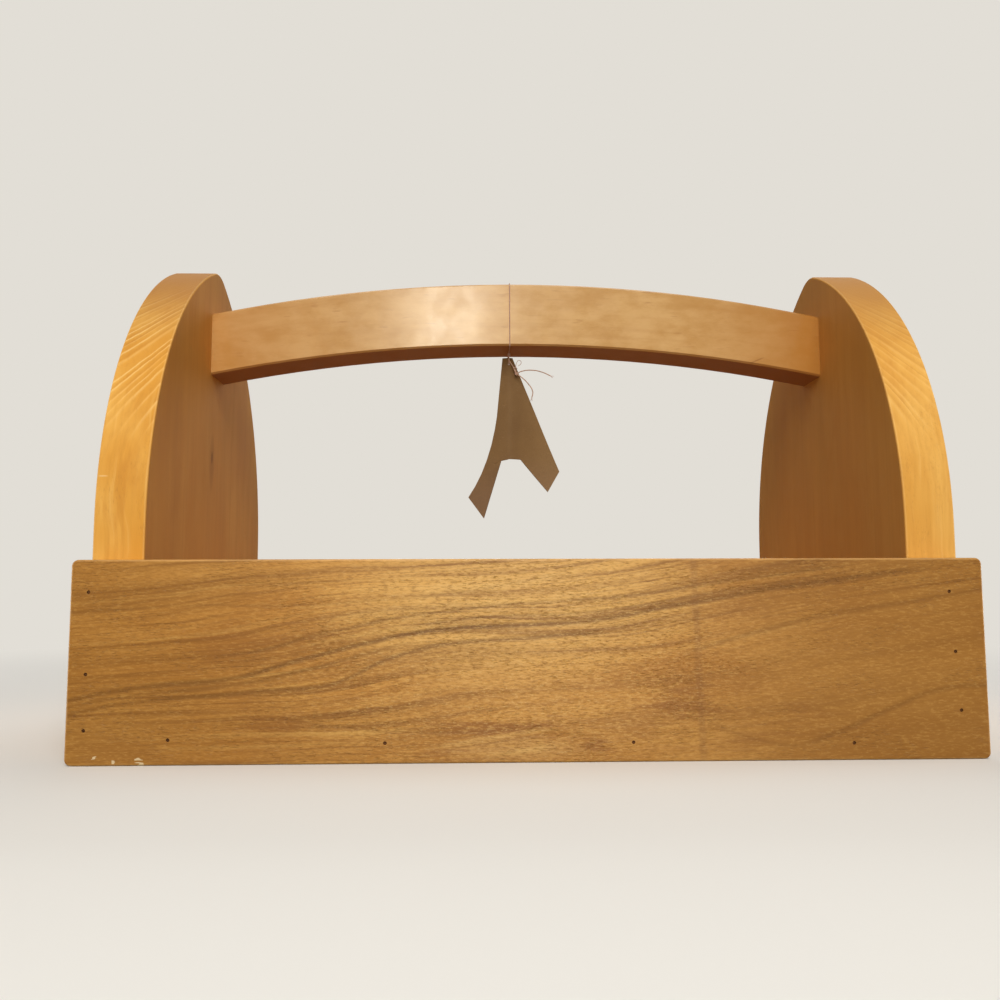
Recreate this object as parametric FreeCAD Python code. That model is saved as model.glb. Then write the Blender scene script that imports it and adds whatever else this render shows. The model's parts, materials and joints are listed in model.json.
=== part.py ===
import FreeCAD, Part
import math
import os

# A wooden tool tote. Two arched end panels carry a bowed handle. A front board is nailed over
# their front edges, a tray floor is housed between them, and a shallow drawer under the tray
# floor pulls out at the rear. A blank card tag hangs from the handle on a thread.
# Frame: millimetres, X along the front board, -Y the front, +Z up, origin at the middle of the base.

os.makedirs("parts", exist_ok=True)
Vector = FreeCAD.Vector
X_AXIS = Vector(1, 0, 0)
Y_AXIS = Vector(0, 1, 0)
Z_AXIS = Vector(0, 0, 1)

# Overall sizes
tote_width = 406.0
tote_depth = 274.0
board_height = 89.0
board_thickness = 22.0

# End panels
panel_thickness = 24.0
panel_spring_height = 104.5
panel_side_radius = 171.0
panel_crown_radius = 24.0

# Bottom board and tray floor
bottom_thickness = 22.0
drawer_opening_height = 36.0
tray_floor_thickness = 6.0
groove_depth = 6.0
groove_end_play = 0.2

# Handle
handle_crown_gap = 8.9
handle_height = 37.0
handle_depth = 29.0
handle_rise = 18.0
handle_end_taper = 1.0
handle_bevel = 1.0

# Eased edges
edge_round = 1.0
corner_round = 3.0

# Drawer
drawer_side_play = 0.8
drawer_top_play = 2.0
drawer_back_room = 18.0
drawer_front_floor_gap = 1.0
drawer_front_rail_gap = 1.0
drawer_stock = 10.0
drawer_bottom_lift = 5.0
drawer_bottom_thickness = 4.0
drawer_groove_depth = 5.0
notch_width = 62.0
notch_depth = 17.0
notch_round = 12.0

# Finish nails, the large size in the body and the small size in the drawer
nail_radius = 0.55
nail_head_radius = 0.8
nail_head_length = 1.2
nail_set_depth = 0.5
nail_point_length = 2.0
nail_length = 44.0
bottom_nail_length = 50.0
small_nail_radius = 0.5
small_nail_head_radius = 0.7
small_nail_head_length = 1.0
small_nail_set_depth = 0.4
small_nail_point_length = 1.8
small_nail_length = 22.0
short_nail_length = 15.0
left_nail_inset = 8.0
right_nail_insets = (12.6, 14.0, 15.6)
rail_nail_inset = 12.0
front_row_places_shares = (-0.391, -0.160, 0.108, 0.349)
front_row_height_shares = (0.122, 0.100, 0.095, 0.084)
left_nail_height_shares = (0.17, 0.44, 0.84)
right_nail_height_shares = (0.24, 0.53, 0.83)
rail_nail_height_shares = (0.30, 0.72)
bottom_nail_depth_shares = (-0.37, 0.0, 0.37)
drawer_nail_height_shares = (0.36, 0.78)
drawer_bottom_nail_shares = (-0.38, 0.0, 0.38)

# Countersunk wood screws, the large size in the handle and the small size in the drawer
screw_radius = 2.1
screw_head_radius = 4.2
screw_head_length = 2.6
screw_point_length = 5.0
screw_length = 52.0
screw_spacing = 18.0
small_screw_radius = 1.6
small_screw_head_radius = 3.2
small_screw_head_length = 2.0
small_screw_point_length = 3.5
small_screw_length = 25.0
screw_clearance = 0.2
recess_width_share = 0.22
recess_length_share = 1.15
recess_depth_share = 0.7
front_screw_places_shares = (-0.40, -0.17, 0.17, 0.40)

# Tag, thread and knots
thread_radius = 0.35
thread_gap = 0.08
thread_place = -5.0
hitch_radius = 1.25
tie_strand_gap = 1.0
tie_length = 4.9
knot_radius = 0.95
stem_radius = 0.3
knot_reach = 4.3
knot_drop = 10.8
knot_stand_off = 0.6
long_tail_reach = 22.3
long_tail_drop = 1.5
long_tail_bow = 2.1
short_tail_reach = 9.3
short_tail_drop = 16.5
short_tail_bow = 3.3
tag_thickness = 0.5
tag_fold_slope_share = 0.34
tag_hole_radius = 0.8
tag_hole_gap = 0.2
tag_tip_rise = 4.1
tag_tip_left_reach = 3.8
tag_tip_right_reach = 2.1
tag_curve_start_reach = 7.3
tag_curve_start_drop = 36.0
tag_waist_reach = 13.3
tag_waist_drop = 61.9
tag_left_reach = 24.4
tag_left_drop = 83.8
tag_left_point_reach = 15.2
tag_left_point_drop = 96.8
tag_notch_left_reach = 4.6
tag_notch_right_reach = 6.6
tag_notch_drop = 62.2
tag_right_reach = 30.1
tag_right_drop = 68.4
tag_right_point_reach = 22.9
tag_right_point_drop = 81.0

# Places that follow from the sizes
outer_x = tote_width / 2
inner_x = outer_x - panel_thickness
front_y = -tote_depth / 2
rear_y = tote_depth / 2
panel_front_y = front_y + board_thickness
panel_rear_y = rear_y - board_thickness
panel_half_depth = (panel_rear_y - panel_front_y) / 2
tray_floor_z = bottom_thickness + drawer_opening_height
tray_top_z = tray_floor_z + tray_floor_thickness
crown_z = panel_spring_height + math.sqrt(
    (panel_side_radius - panel_crown_radius) ** 2 - (panel_side_radius - panel_half_depth) ** 2
)
panel_top_z = crown_z + panel_crown_radius
handle_top_z = panel_top_z - handle_crown_gap
handle_under_z = handle_top_z - handle_height
handle_end_top_z = handle_top_z - handle_rise - handle_end_taper
handle_end_under_z = handle_under_z - handle_rise
drawer_half_width = inner_x - drawer_side_play
drawer_inner_x = drawer_half_width - drawer_stock
drawer_low_z = bottom_thickness
drawer_top_z = tray_floor_z - drawer_top_play
drawer_back_y = panel_front_y + drawer_back_room
drawer_bottom_z = drawer_low_z + drawer_bottom_lift
drawer_inside_z = drawer_bottom_z + drawer_bottom_thickness
drawer_front_low_z = drawer_front_floor_gap
drawer_front_top_z = tray_floor_z - drawer_front_rail_gap
box_front_inner_y = panel_rear_y - drawer_stock


# Building blocks

def block(low, high):
    """A box between two corners."""
    low, high = Vector(*low), Vector(*high)
    size = high - low
    return Part.makeBox(size.x, size.y, size.z, low)


def rod(start, direction, radius, length):
    """A round bar from a point along a direction."""
    return Part.makeCylinder(radius, length, start, direction)


def without(shape, tools):
    """A shape with every tool cut out of it."""
    for tool in tools:
        shape = shape.cut(tool)
    return shape


def joined(pieces):
    """Overlapping or touching pieces as one solid."""
    whole = pieces[0]
    for piece in pieces[1:]:
        whole = whole.fuse(piece)
    return whole.removeSplitter()


def eased(shape, radius, chosen):
    """A shape with the chosen edges rounded."""
    return shape.makeFillet(radius, [edge for edge in shape.Edges if chosen(edge)])


def planed(shape, width, chosen):
    """A shape with the chosen edges bevelled, as with a block plane."""
    return shape.makeChamfer(width, [edge for edge in shape.Edges if chosen(edge)])


def runs_along(edge, axis):
    """True for a straight edge parallel to an axis."""
    if not isinstance(edge.Curve, Part.Line):
        return False
    return abs(edge.Curve.Direction.dot(axis)) > math.cos(math.radians(1))


def at_depth(edge, depth):
    """True for an edge that lies all along one Y."""
    box = edge.BoundBox
    return max(abs(box.YMin - depth), abs(box.YMax - depth)) < edge_round / 4


def at_side(edge, place):
    """True for an edge that lies all along one X."""
    box = edge.BoundBox
    return max(abs(box.XMin - place), abs(box.XMax - place)) < edge_round / 4


def export(name, pieces):
    """Write one node, as one solid or as a group of separate solids."""
    shape = pieces[0] if len(pieces) == 1 else Part.makeCompound(pieces)
    shape.exportStep("parts/" + name + ".step")


# Fasteners

def nail_shape(point, way, radius, head_radius, head_length, set_depth, point_length, length, mouth):
    """A finish nail set below the surface at a point, or with a mouth the hole that it leaves."""
    head_start = Vector(point) if mouth else point + way * set_depth
    head_end = point + way * (set_depth + head_length)
    shank_length = length - set_depth - head_length - point_length
    shank_end = head_end + way * shank_length
    head = rod(head_start, way, head_radius, (head_end - head_start).Length)
    shank = rod(head_end, way, radius, shank_length)
    tip = Part.makeCone(radius, radius / 4, point_length, shank_end, way)
    return joined([head, shank, tip])


def nail(point, way, length, mouth=False):
    """The body's nail or its hole."""
    return nail_shape(
        point, way, nail_radius, nail_head_radius, nail_head_length,
        nail_set_depth, nail_point_length, length, mouth,
    )


def small_nail(point, way, length, mouth=False):
    """The drawer's nail or its hole."""
    return nail_shape(
        point, way, small_nail_radius, small_nail_head_radius, small_nail_head_length,
        small_nail_set_depth, small_nail_point_length, length, mouth,
    )


def screw_shape(point, way, radius, head_radius, head_length, point_length, length):
    """A countersunk wood screw with its head flush at a point."""
    head = Part.makeCone(head_radius, radius, head_length, point, way)
    shank_length = length - head_length - point_length
    shank = rod(point + way * head_length, way, radius, shank_length)
    tip_start = point + way * (head_length + shank_length)
    tip = Part.makeCone(radius, radius / 4, point_length, tip_start, way)
    return joined([head, shank, tip])


def cross_recess(point, way, head_radius, head_length):
    """The cross-shaped driver recess in a screw head."""
    long_side = head_radius * recess_length_share
    short_side = head_radius * recess_width_share
    depth = head_length * recess_depth_share
    across = Z_AXIS.cross(way)
    arms = []
    for first, second in ((across, Z_AXIS), (Z_AXIS, across)):
        corner = point - first * (long_side / 2) - second * (short_side / 2)
        outline = Part.makePolygon([
            corner,
            corner + first * long_side,
            corner + first * long_side + second * short_side,
            corner + second * short_side,
            corner,
        ])
        arms.append(Part.Face(outline).extrude(way * depth))
    return joined(arms)


def handle_screw(point, way):
    """A screw that holds the handle."""
    body = screw_shape(
        point, way, screw_radius, screw_head_radius, screw_head_length,
        screw_point_length, screw_length,
    )
    return body.cut(cross_recess(point, way, screw_head_radius, screw_head_length))


def handle_screw_hole(point, way):
    """The countersunk clearance hole in an end panel, with the pilot hole behind it."""
    screw = screw_shape(
        point, way, screw_radius, screw_head_radius, screw_head_length,
        screw_point_length, screw_length,
    )
    clearance = rod(point, way, screw_radius + screw_clearance, panel_thickness)
    return joined([screw, clearance])


def drawer_screw(point, way):
    """A screw that holds the drawer front to the drawer box."""
    body = screw_shape(
        point, way, small_screw_radius, small_screw_head_radius, small_screw_head_length,
        small_screw_point_length, small_screw_length,
    )
    return body.cut(cross_recess(point, way, small_screw_head_radius, small_screw_head_length))


def drawer_screw_hole(point, way):
    """The countersunk clearance hole in the box front, with the pilot hole behind it."""
    screw = screw_shape(
        point, way, small_screw_radius, small_screw_head_radius, small_screw_head_length,
        small_screw_point_length, small_screw_length,
    )
    clearance = rod(point, way, small_screw_radius + screw_clearance, drawer_stock)
    return joined([screw, clearance])


# Places of the fasteners, each a point on the surface and the way it is driven

def front_nail_places():
    """Ten nails: a row into the bottom board and three into each end panel."""
    row = zip(front_row_places_shares, front_row_height_shares)
    places = [(along * tote_width, up * board_height) for along, up in row]
    places += [(-outer_x + left_nail_inset, share * board_height) for share in left_nail_height_shares]
    right_ends = zip(right_nail_insets, right_nail_height_shares)
    places += [(outer_x - inset, share * board_height) for inset, share in right_ends]
    return [(Vector(x, front_y, z), Y_AXIS) for x, z in places]


def rail_nail_places():
    """Two nails at each end of the back rail."""
    rail_height = board_height - tray_floor_z
    return [
        (Vector(side * (outer_x - rail_nail_inset), rear_y, tray_floor_z + share * rail_height), -Y_AXIS)
        for side in (-1, 1)
        for share in rail_nail_height_shares
    ]


def bottom_nail_places():
    """Three nails through each end panel into the end of the bottom board."""
    depth = panel_rear_y - panel_front_y
    return [
        (Vector(side * outer_x, share * depth, bottom_thickness / 2), X_AXIS * -side)
        for side in (-1, 1)
        for share in bottom_nail_depth_shares
    ]


def handle_screw_places():
    """Two screws through each end panel into the end of the handle."""
    middle_z = (handle_end_top_z + handle_end_under_z) / 2
    return [
        (Vector(side * outer_x, 0, middle_z + up * screw_spacing / 2), X_AXIS * -side)
        for side in (-1, 1)
        for up in (-1, 1)
    ]


def drawer_corner_nail_places():
    """Two nails at each corner of the drawer box."""
    height = drawer_top_z - drawer_low_z
    rows = (drawer_back_y + drawer_stock / 2, panel_rear_y - drawer_stock / 2)
    return [
        (Vector(side * drawer_half_width, y, drawer_low_z + share * height), X_AXIS * -side)
        for side in (-1, 1)
        for y in rows
        for share in drawer_nail_height_shares
    ]


def drawer_bottom_nail_places():
    """Three nails up through the drawer bottom into the box back."""
    width = 2 * drawer_inner_x
    return [
        (Vector(share * width, drawer_back_y + drawer_stock / 2, drawer_bottom_z), Z_AXIS)
        for share in drawer_bottom_nail_shares
    ]


def drawer_screw_places():
    """Four screws from inside the drawer into its front."""
    middle_z = (drawer_inside_z + drawer_top_z) / 2
    return [
        (Vector(share * 2 * drawer_inner_x, box_front_inner_y, middle_z), Y_AXIS)
        for share in front_screw_places_shares
    ]


front_nail_holes = [nail(point, way, nail_length, True) for point, way in front_nail_places()]
rail_nail_holes = [nail(point, way, nail_length, True) for point, way in rail_nail_places()]
bottom_nail_holes = [nail(point, way, bottom_nail_length, True) for point, way in bottom_nail_places()]
handle_screw_holes = [handle_screw_hole(point, way) for point, way in handle_screw_places()]
handle_pilot_holes = [
    screw_shape(
        point, way, screw_radius, screw_head_radius, screw_head_length,
        screw_point_length, screw_length,
    )
    for point, way in handle_screw_places()
]
corner_nail_holes = [
    small_nail(point, way, small_nail_length, True) for point, way in drawer_corner_nail_places()
]
drawer_bottom_nail_holes = [
    small_nail(point, way, short_nail_length, True) for point, way in drawer_bottom_nail_places()
]
drawer_screw_holes = [drawer_screw_hole(point, way) for point, way in drawer_screw_places()]
drawer_pilot_holes = [
    screw_shape(
        point, way, small_screw_radius, small_screw_head_radius, small_screw_head_length,
        small_screw_point_length, small_screw_length,
    )
    for point, way in drawer_screw_places()
]


# Body of the tote

def arch_outline(x):
    """The outline of an end panel: straight sides, two side arcs and a crown arc, all tangent."""
    reach = panel_side_radius - panel_half_depth
    turn = math.acos(reach / (panel_side_radius - panel_crown_radius))

    def side_point(side, angle):
        y = side * (panel_side_radius * math.cos(angle) - reach)
        return Vector(x, y, panel_spring_height + panel_side_radius * math.sin(angle))

    foot_front = Vector(x, -panel_half_depth, 0)
    foot_rear = Vector(x, panel_half_depth, 0)
    crown_front = side_point(-1, turn)
    crown_rear = side_point(1, turn)
    edges = [
        Part.LineSegment(foot_front, side_point(-1, 0)),
        Part.Arc(side_point(-1, 0), side_point(-1, turn / 2), crown_front),
        Part.Arc(crown_front, Vector(x, 0, panel_top_z), crown_rear),
        Part.Arc(crown_rear, side_point(1, turn / 2), side_point(1, 0)),
        Part.LineSegment(side_point(1, 0), foot_rear),
        Part.LineSegment(foot_rear, foot_front),
    ]
    return Part.Wire([edge.toShape() for edge in edges])


def end_panel(side):
    """An arched end panel with the groove for the tray floor on its inner face."""
    outer_face = Part.Face(arch_outline(side * outer_x))
    board = outer_face.extrude(X_AXIS * (-side * panel_thickness))

    def on_arch(edge):
        on_face = at_side(edge, side * outer_x) or at_side(edge, side * inner_x)
        return on_face and edge.BoundBox.ZMax > board_height + edge_round

    board = eased(board, edge_round, on_arch)
    near, far = sorted((side * inner_x, side * (inner_x + groove_depth)))
    groove = block((near, panel_front_y, tray_floor_z), (far, panel_rear_y, tray_top_z))
    holes = front_nail_holes + rail_nail_holes + bottom_nail_holes + handle_screw_holes
    return without(board, [groove] + [hole for hole in holes if hole.common(board).Volume > 0])


def face_board(low_z, high_z, outer_y, inner_y):
    """A full-width board with its corners and its outer arrises eased."""
    near, far = sorted((outer_y, inner_y))
    board = block((-outer_x, near, low_z), (outer_x, far, high_z))
    board = eased(board, corner_round, lambda edge: runs_along(edge, Y_AXIS))
    return eased(board, edge_round, lambda edge: at_depth(edge, outer_y))


def front_board():
    """The front board, grooved behind for the tray floor."""
    board = face_board(0, board_height, front_y, panel_front_y)
    groove_x = inner_x + groove_depth
    groove = block(
        (-groove_x, panel_front_y - groove_depth, tray_floor_z),
        (groove_x, panel_front_y, tray_top_z),
    )
    return without(board, [groove] + front_nail_holes)


def back_rail():
    """The rail above the drawer, rebated for the tray floor."""
    rail = face_board(tray_floor_z, board_height, rear_y, panel_rear_y)
    rebate_x = inner_x + groove_depth
    rebate = block(
        (-rebate_x, panel_rear_y, tray_floor_z),
        (rebate_x, panel_rear_y + groove_depth, tray_top_z),
    )
    return without(rail, [rebate] + rail_nail_holes)


def bottom_board():
    """The bottom board, held by nails from the front and from both ends."""
    board = block((-inner_x, panel_front_y, 0), (inner_x, panel_rear_y, bottom_thickness))
    return without(board, front_nail_holes[:len(front_row_places_shares)] + bottom_nail_holes)


def tray_floor():
    """The thin floor of the tray, housed on all four sides."""
    edge_x = inner_x + groove_depth - groove_end_play
    reach = groove_depth - groove_end_play
    return block(
        (-edge_x, panel_front_y - reach, tray_floor_z),
        (edge_x, panel_rear_y + reach, tray_top_z),
    )


def handle():
    """The bowed bar, cut square where it meets the end panels."""
    y = -handle_depth / 2
    top = Part.Arc(
        Vector(-inner_x, y, handle_end_top_z), Vector(0, y, handle_top_z), Vector(inner_x, y, handle_end_top_z)
    )
    under = Part.Arc(
        Vector(inner_x, y, handle_end_under_z), Vector(0, y, handle_under_z), Vector(-inner_x, y, handle_end_under_z)
    )
    right = Part.LineSegment(Vector(inner_x, y, handle_end_top_z), Vector(inner_x, y, handle_end_under_z))
    left = Part.LineSegment(Vector(-inner_x, y, handle_end_under_z), Vector(-inner_x, y, handle_end_top_z))
    outline = Part.Wire([edge.toShape() for edge in (top, right, under, left)])
    bar = Part.Face(outline).extrude(Y_AXIS * handle_depth)
    bar = planed(bar, handle_bevel, lambda edge: edge.BoundBox.XLength > inner_x)
    return without(bar, handle_pilot_holes)


# Drawer

def finger_notch():
    """The round-cornered notch through the top of the drawer front and of the box front."""
    half = notch_width / 2
    low_z = drawer_front_top_z - notch_depth
    reach = drawer_front_top_z - low_z
    start_y = box_front_inner_y
    end_y = rear_y
    slot = block((-half, start_y, low_z), (half, end_y, drawer_front_top_z + reach))
    return eased(
        slot,
        notch_round,
        lambda edge: runs_along(edge, Y_AXIS) and edge.BoundBox.ZMax < drawer_front_top_z,
    )


def drawer_front():
    """The full-width drawer front that closes against the end panels."""
    board = face_board(drawer_front_low_z, drawer_front_top_z, rear_y, panel_rear_y)
    return without(board, [finger_notch()] + drawer_pilot_holes)


def drawer_side(side):
    """A side of the drawer box with the groove for the drawer bottom."""
    near, far = sorted((side * drawer_inner_x, side * drawer_half_width))
    board = block((near, drawer_back_y, drawer_low_z), (far, panel_rear_y, drawer_top_z))
    groove_near, groove_far = sorted((side * drawer_inner_x, side * (drawer_inner_x + drawer_groove_depth)))
    groove = block(
        (groove_near, drawer_back_y, drawer_bottom_z),
        (groove_far, panel_rear_y, drawer_inside_z),
    )
    holes = [hole for hole in corner_nail_holes if hole.common(board).Volume > 0]
    return without(board, [groove] + holes)


def drawer_box_front():
    """The front of the drawer box, notched and grooved."""
    board = block(
        (-drawer_inner_x, box_front_inner_y, drawer_low_z),
        (drawer_inner_x, panel_rear_y, drawer_top_z),
    )
    groove = block(
        (-drawer_inner_x, box_front_inner_y, drawer_bottom_z),
        (drawer_inner_x, box_front_inner_y + drawer_groove_depth, drawer_inside_z),
    )
    return without(board, [groove, finger_notch()] + corner_nail_holes + drawer_screw_holes)


def drawer_box_back():
    """The back of the drawer box, standing on the drawer bottom."""
    board = block(
        (-drawer_inner_x, drawer_back_y, drawer_inside_z),
        (drawer_inner_x, drawer_back_y + drawer_stock, drawer_top_z),
    )
    return without(board, corner_nail_holes + drawer_bottom_nail_holes)


def drawer_bottom():
    """The thin bottom that slides in under the box back."""
    edge_x = drawer_inner_x + drawer_groove_depth - groove_end_play
    edge_y = box_front_inner_y + drawer_groove_depth - groove_end_play
    board = block((-edge_x, drawer_back_y, drawer_bottom_z), (edge_x, edge_y, drawer_inside_z))
    return without(board, drawer_bottom_nail_holes)


# Tag on its thread

def height_on_arc(middle_z, end_z, x):
    """The height at x of an arc through two ends at the end panels and a middle."""
    rise = middle_z - end_z
    radius = (inner_x ** 2 + rise ** 2) / (2 * rise)
    return middle_z - radius + math.sqrt(radius ** 2 - x ** 2)


thread_stand_off = thread_radius + thread_gap
thread_top_z = height_on_arc(handle_top_z, handle_end_top_z, thread_place) + thread_stand_off
thread_low_z = height_on_arc(handle_under_z, handle_end_under_z, thread_place) - thread_stand_off
hitch_z = thread_low_z - thread_radius - thread_gap - hitch_radius
tie_top_z = hitch_z - hitch_radius - thread_gap
tie_low_z = tie_top_z - tie_length
knot_z = tie_top_z - knot_drop
tag_hole_z = tie_low_z - tag_hole_radius + thread_radius + tag_hole_gap
tag_tip_z = tag_hole_z + tag_tip_rise


def thread_along(edges, start, way):
    """A thread swept along edges that meet smoothly."""
    path = Part.Wire([edge.toShape() for edge in edges])
    profile = Part.Wire([Part.Circle(start, way, thread_radius).toShape()])
    return path.makePipeShell([profile], True, False)


def thread_loop():
    """The thread round the handle, one closed turn with rounded corners."""
    x = thread_place
    y = handle_depth / 2 + thread_stand_off
    bend = handle_bevel + thread_stand_off
    slant = bend * (1 - math.sqrt(0.5))
    straight_y = y - bend
    high_z = thread_top_z - bend
    low_z = thread_low_z + bend
    start = Vector(x, 0, thread_top_z)
    edges = [
        Part.LineSegment(start, Vector(x, straight_y, thread_top_z)),
        Part.Arc(
            Vector(x, straight_y, thread_top_z),
            Vector(x, y - slant, thread_top_z - slant),
            Vector(x, y, high_z),
        ),
        Part.LineSegment(Vector(x, y, high_z), Vector(x, y, low_z)),
        Part.Arc(
            Vector(x, y, low_z),
            Vector(x, y - slant, thread_low_z + slant),
            Vector(x, straight_y, thread_low_z),
        ),
        Part.LineSegment(Vector(x, straight_y, thread_low_z), Vector(x, -straight_y, thread_low_z)),
        Part.Arc(
            Vector(x, -straight_y, thread_low_z),
            Vector(x, slant - y, thread_low_z + slant),
            Vector(x, -y, low_z),
        ),
        Part.LineSegment(Vector(x, -y, low_z), Vector(x, -y, high_z)),
        Part.Arc(
            Vector(x, -y, high_z),
            Vector(x, slant - y, thread_top_z - slant),
            Vector(x, -straight_y, thread_top_z),
        ),
        Part.LineSegment(Vector(x, -straight_y, thread_top_z), start),
    ]
    return thread_along(edges, start, Y_AXIS)


def tag_hitch():
    """The hitch where the tie hangs from the thread loop."""
    return Part.makeSphere(hitch_radius, Vector(thread_place, 0, hitch_z))


def tail(knot, reach, drop, bow):
    """A loose thread end that curves out and down from the knot."""
    end = knot + Vector(reach, 0, -drop)
    span = end - knot
    outwards = Vector(drop, 0, reach)
    outwards.normalize()
    middle = knot + span / 2 + outwards * bow
    arc = Part.Arc(knot, middle, end)
    return thread_along([arc], knot, arc.tangent(arc.FirstParameter)[0])


def tag_tie():
    """The tied loop of thread through the hole in the card, with its knot and two tails."""
    x = thread_place
    y = tie_strand_gap
    high_z = tie_top_z - thread_radius - tie_strand_gap
    low_z = tie_low_z + tie_strand_gap
    start = Vector(x, -y, high_z)
    edges = [
        Part.LineSegment(start, Vector(x, -y, low_z)),
        Part.Arc(Vector(x, -y, low_z), Vector(x, 0, tie_low_z), Vector(x, y, low_z)),
        Part.LineSegment(Vector(x, y, low_z), Vector(x, y, high_z)),
        Part.Arc(Vector(x, y, high_z), Vector(x, 0, high_z + tie_strand_gap), start),
    ]
    link = thread_along(edges, start, Z_AXIS)
    knot_place = Vector(x + knot_reach, -y - knot_stand_off, knot_z)
    stem_start = Vector(x, -y, (high_z + low_z) / 2)
    stem_way = knot_place - stem_start
    stem = rod(stem_start, stem_way, stem_radius, stem_way.Length)
    knot = Part.makeSphere(knot_radius, knot_place)
    long_tail = tail(knot_place, long_tail_reach, long_tail_drop, long_tail_bow)
    short_tail = tail(knot_place, short_tail_reach, short_tail_drop, short_tail_bow)
    return joined([link, stem, knot, long_tail, short_tail])


def on_card(reach, drop):
    """A point on the folded card, by its reach from the fold and its drop from the tip."""
    depth = abs(reach) * tag_fold_slope_share - tag_thickness / 2
    return Vector(thread_place + reach, depth, tag_tip_z - drop)


def tag_leaf(corners, curves):
    """One flat leaf of the card, with straight edges between its corners and then its curves."""
    edges = [Part.LineSegment(near, far) for near, far in zip(corners, corners[1:])]
    face = Part.Face(Part.Wire([edge.toShape() for edge in edges + curves]))
    return face.extrude(Y_AXIS * tag_thickness)


def tag_card():
    """The blank card, folded down the middle, with a hole near its tip."""
    tip = on_card(0, 0)
    notch_middle = on_card(0, tag_notch_drop)
    curve_start = on_card(-tag_curve_start_reach, tag_curve_start_drop)
    left_corner = on_card(-tag_left_reach, tag_left_drop)
    waist = on_card(-tag_waist_reach, tag_waist_drop)
    left_corners = [
        left_corner,
        on_card(-tag_left_point_reach, tag_left_point_drop),
        on_card(-tag_notch_left_reach, tag_notch_drop),
        notch_middle,
        tip,
        on_card(-tag_tip_left_reach, 0),
        curve_start,
    ]
    right_corners = [
        tip,
        on_card(tag_tip_right_reach, 0),
        on_card(tag_right_reach, tag_right_drop),
        on_card(tag_right_point_reach, tag_right_point_drop),
        on_card(tag_notch_right_reach, tag_notch_drop),
        notch_middle,
        tip,
    ]
    left = tag_leaf(left_corners, [Part.Arc(curve_start, waist, left_corner)])
    right = tag_leaf(right_corners, [])
    hole_start = Vector(thread_place, -tag_hole_radius - tag_thickness, tag_hole_z)
    hole = rod(hole_start, Y_AXIS, tag_hole_radius, 2 * (tag_hole_radius + tag_thickness))
    return joined([left, right]).cut(hole)


def hung(pieces):
    """The pieces turned about the hitch until the card's weight hangs under it, front to back."""
    hitch = Vector(thread_place, 0, hitch_z)
    weight = pieces[-1].Solids[0].CenterOfMass - hitch
    lean = math.degrees(math.atan2(weight.y, -weight.z))
    turned = [piece.copy() for piece in pieces]
    for piece in turned:
        piece.rotate(hitch, X_AXIS, -lean)
    return turned


export("end_panel_left", [end_panel(-1)])
export("end_panel_right", [end_panel(1)])
export("front_board", [front_board()])
export("back_rail", [back_rail()])
export("bottom_board", [bottom_board()])
export("tray_floor", [tray_floor()])
export("handle", [handle()])
export("front_board_nails", [nail(point, way, nail_length) for point, way in front_nail_places()])
export("back_rail_nails", [nail(point, way, nail_length) for point, way in rail_nail_places()])
export("bottom_board_nails", [nail(point, way, bottom_nail_length) for point, way in bottom_nail_places()])
export("handle_screws", [handle_screw(point, way) for point, way in handle_screw_places()])
export("drawer_front", [drawer_front()])
export("drawer_box_front", [drawer_box_front()])
export("drawer_box_back", [drawer_box_back()])
export("drawer_side_left", [drawer_side(-1)])
export("drawer_side_right", [drawer_side(1)])
export("drawer_bottom", [drawer_bottom()])
export("drawer_corner_nails", [
    small_nail(point, way, small_nail_length) for point, way in drawer_corner_nail_places()
])
export("drawer_bottom_nails", [
    small_nail(point, way, short_nail_length) for point, way in drawer_bottom_nail_places()
])
export("drawer_front_screws", [drawer_screw(point, way) for point, way in drawer_screw_places()])
export("thread_loop", [thread_loop()])
export("tag_hitch", [tag_hitch()])
hung_tie, hung_card = hung([tag_tie(), tag_card()])
export("tag_tie", [hung_tie])
export("tag_card", [hung_card])
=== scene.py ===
import json
import math

import bpy
from mathutils import Matrix, Vector


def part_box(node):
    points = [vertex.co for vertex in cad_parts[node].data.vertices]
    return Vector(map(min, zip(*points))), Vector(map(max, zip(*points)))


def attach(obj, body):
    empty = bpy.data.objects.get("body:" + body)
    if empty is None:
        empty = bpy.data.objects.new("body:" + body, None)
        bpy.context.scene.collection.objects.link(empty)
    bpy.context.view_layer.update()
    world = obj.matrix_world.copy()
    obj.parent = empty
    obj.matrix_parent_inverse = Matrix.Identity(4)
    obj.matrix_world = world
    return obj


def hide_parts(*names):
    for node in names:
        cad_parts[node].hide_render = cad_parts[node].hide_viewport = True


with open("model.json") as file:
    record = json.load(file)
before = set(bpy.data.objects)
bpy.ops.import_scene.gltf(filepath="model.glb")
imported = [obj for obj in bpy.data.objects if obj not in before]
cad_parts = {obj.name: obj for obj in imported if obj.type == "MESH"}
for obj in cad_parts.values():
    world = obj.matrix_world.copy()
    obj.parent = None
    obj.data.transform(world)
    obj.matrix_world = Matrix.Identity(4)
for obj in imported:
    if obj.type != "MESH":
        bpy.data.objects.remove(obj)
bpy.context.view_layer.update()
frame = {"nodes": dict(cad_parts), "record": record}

# Places and sizes in the frame, in metres
MILLIMETRE = 0.001
BOARD_FACE_Y = -0.137
HANDLE_BOW = 0.018
HANDLE_END_X = 0.179
HITCH = Vector(frame["record"]["behaviour"]["joints"][1]["pos_m"])


# Node helpers

def srgb(red, green, blue):
    """A screen colour, 0 to 255, as the linear colour that a shader takes."""
    def linear(value):
        share = value / 255
        return share / 12.92 if share <= 0.04045 else ((share + 0.055) / 1.055) ** 2.4
    return (linear(red), linear(green), linear(blue), 1.0)


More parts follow.
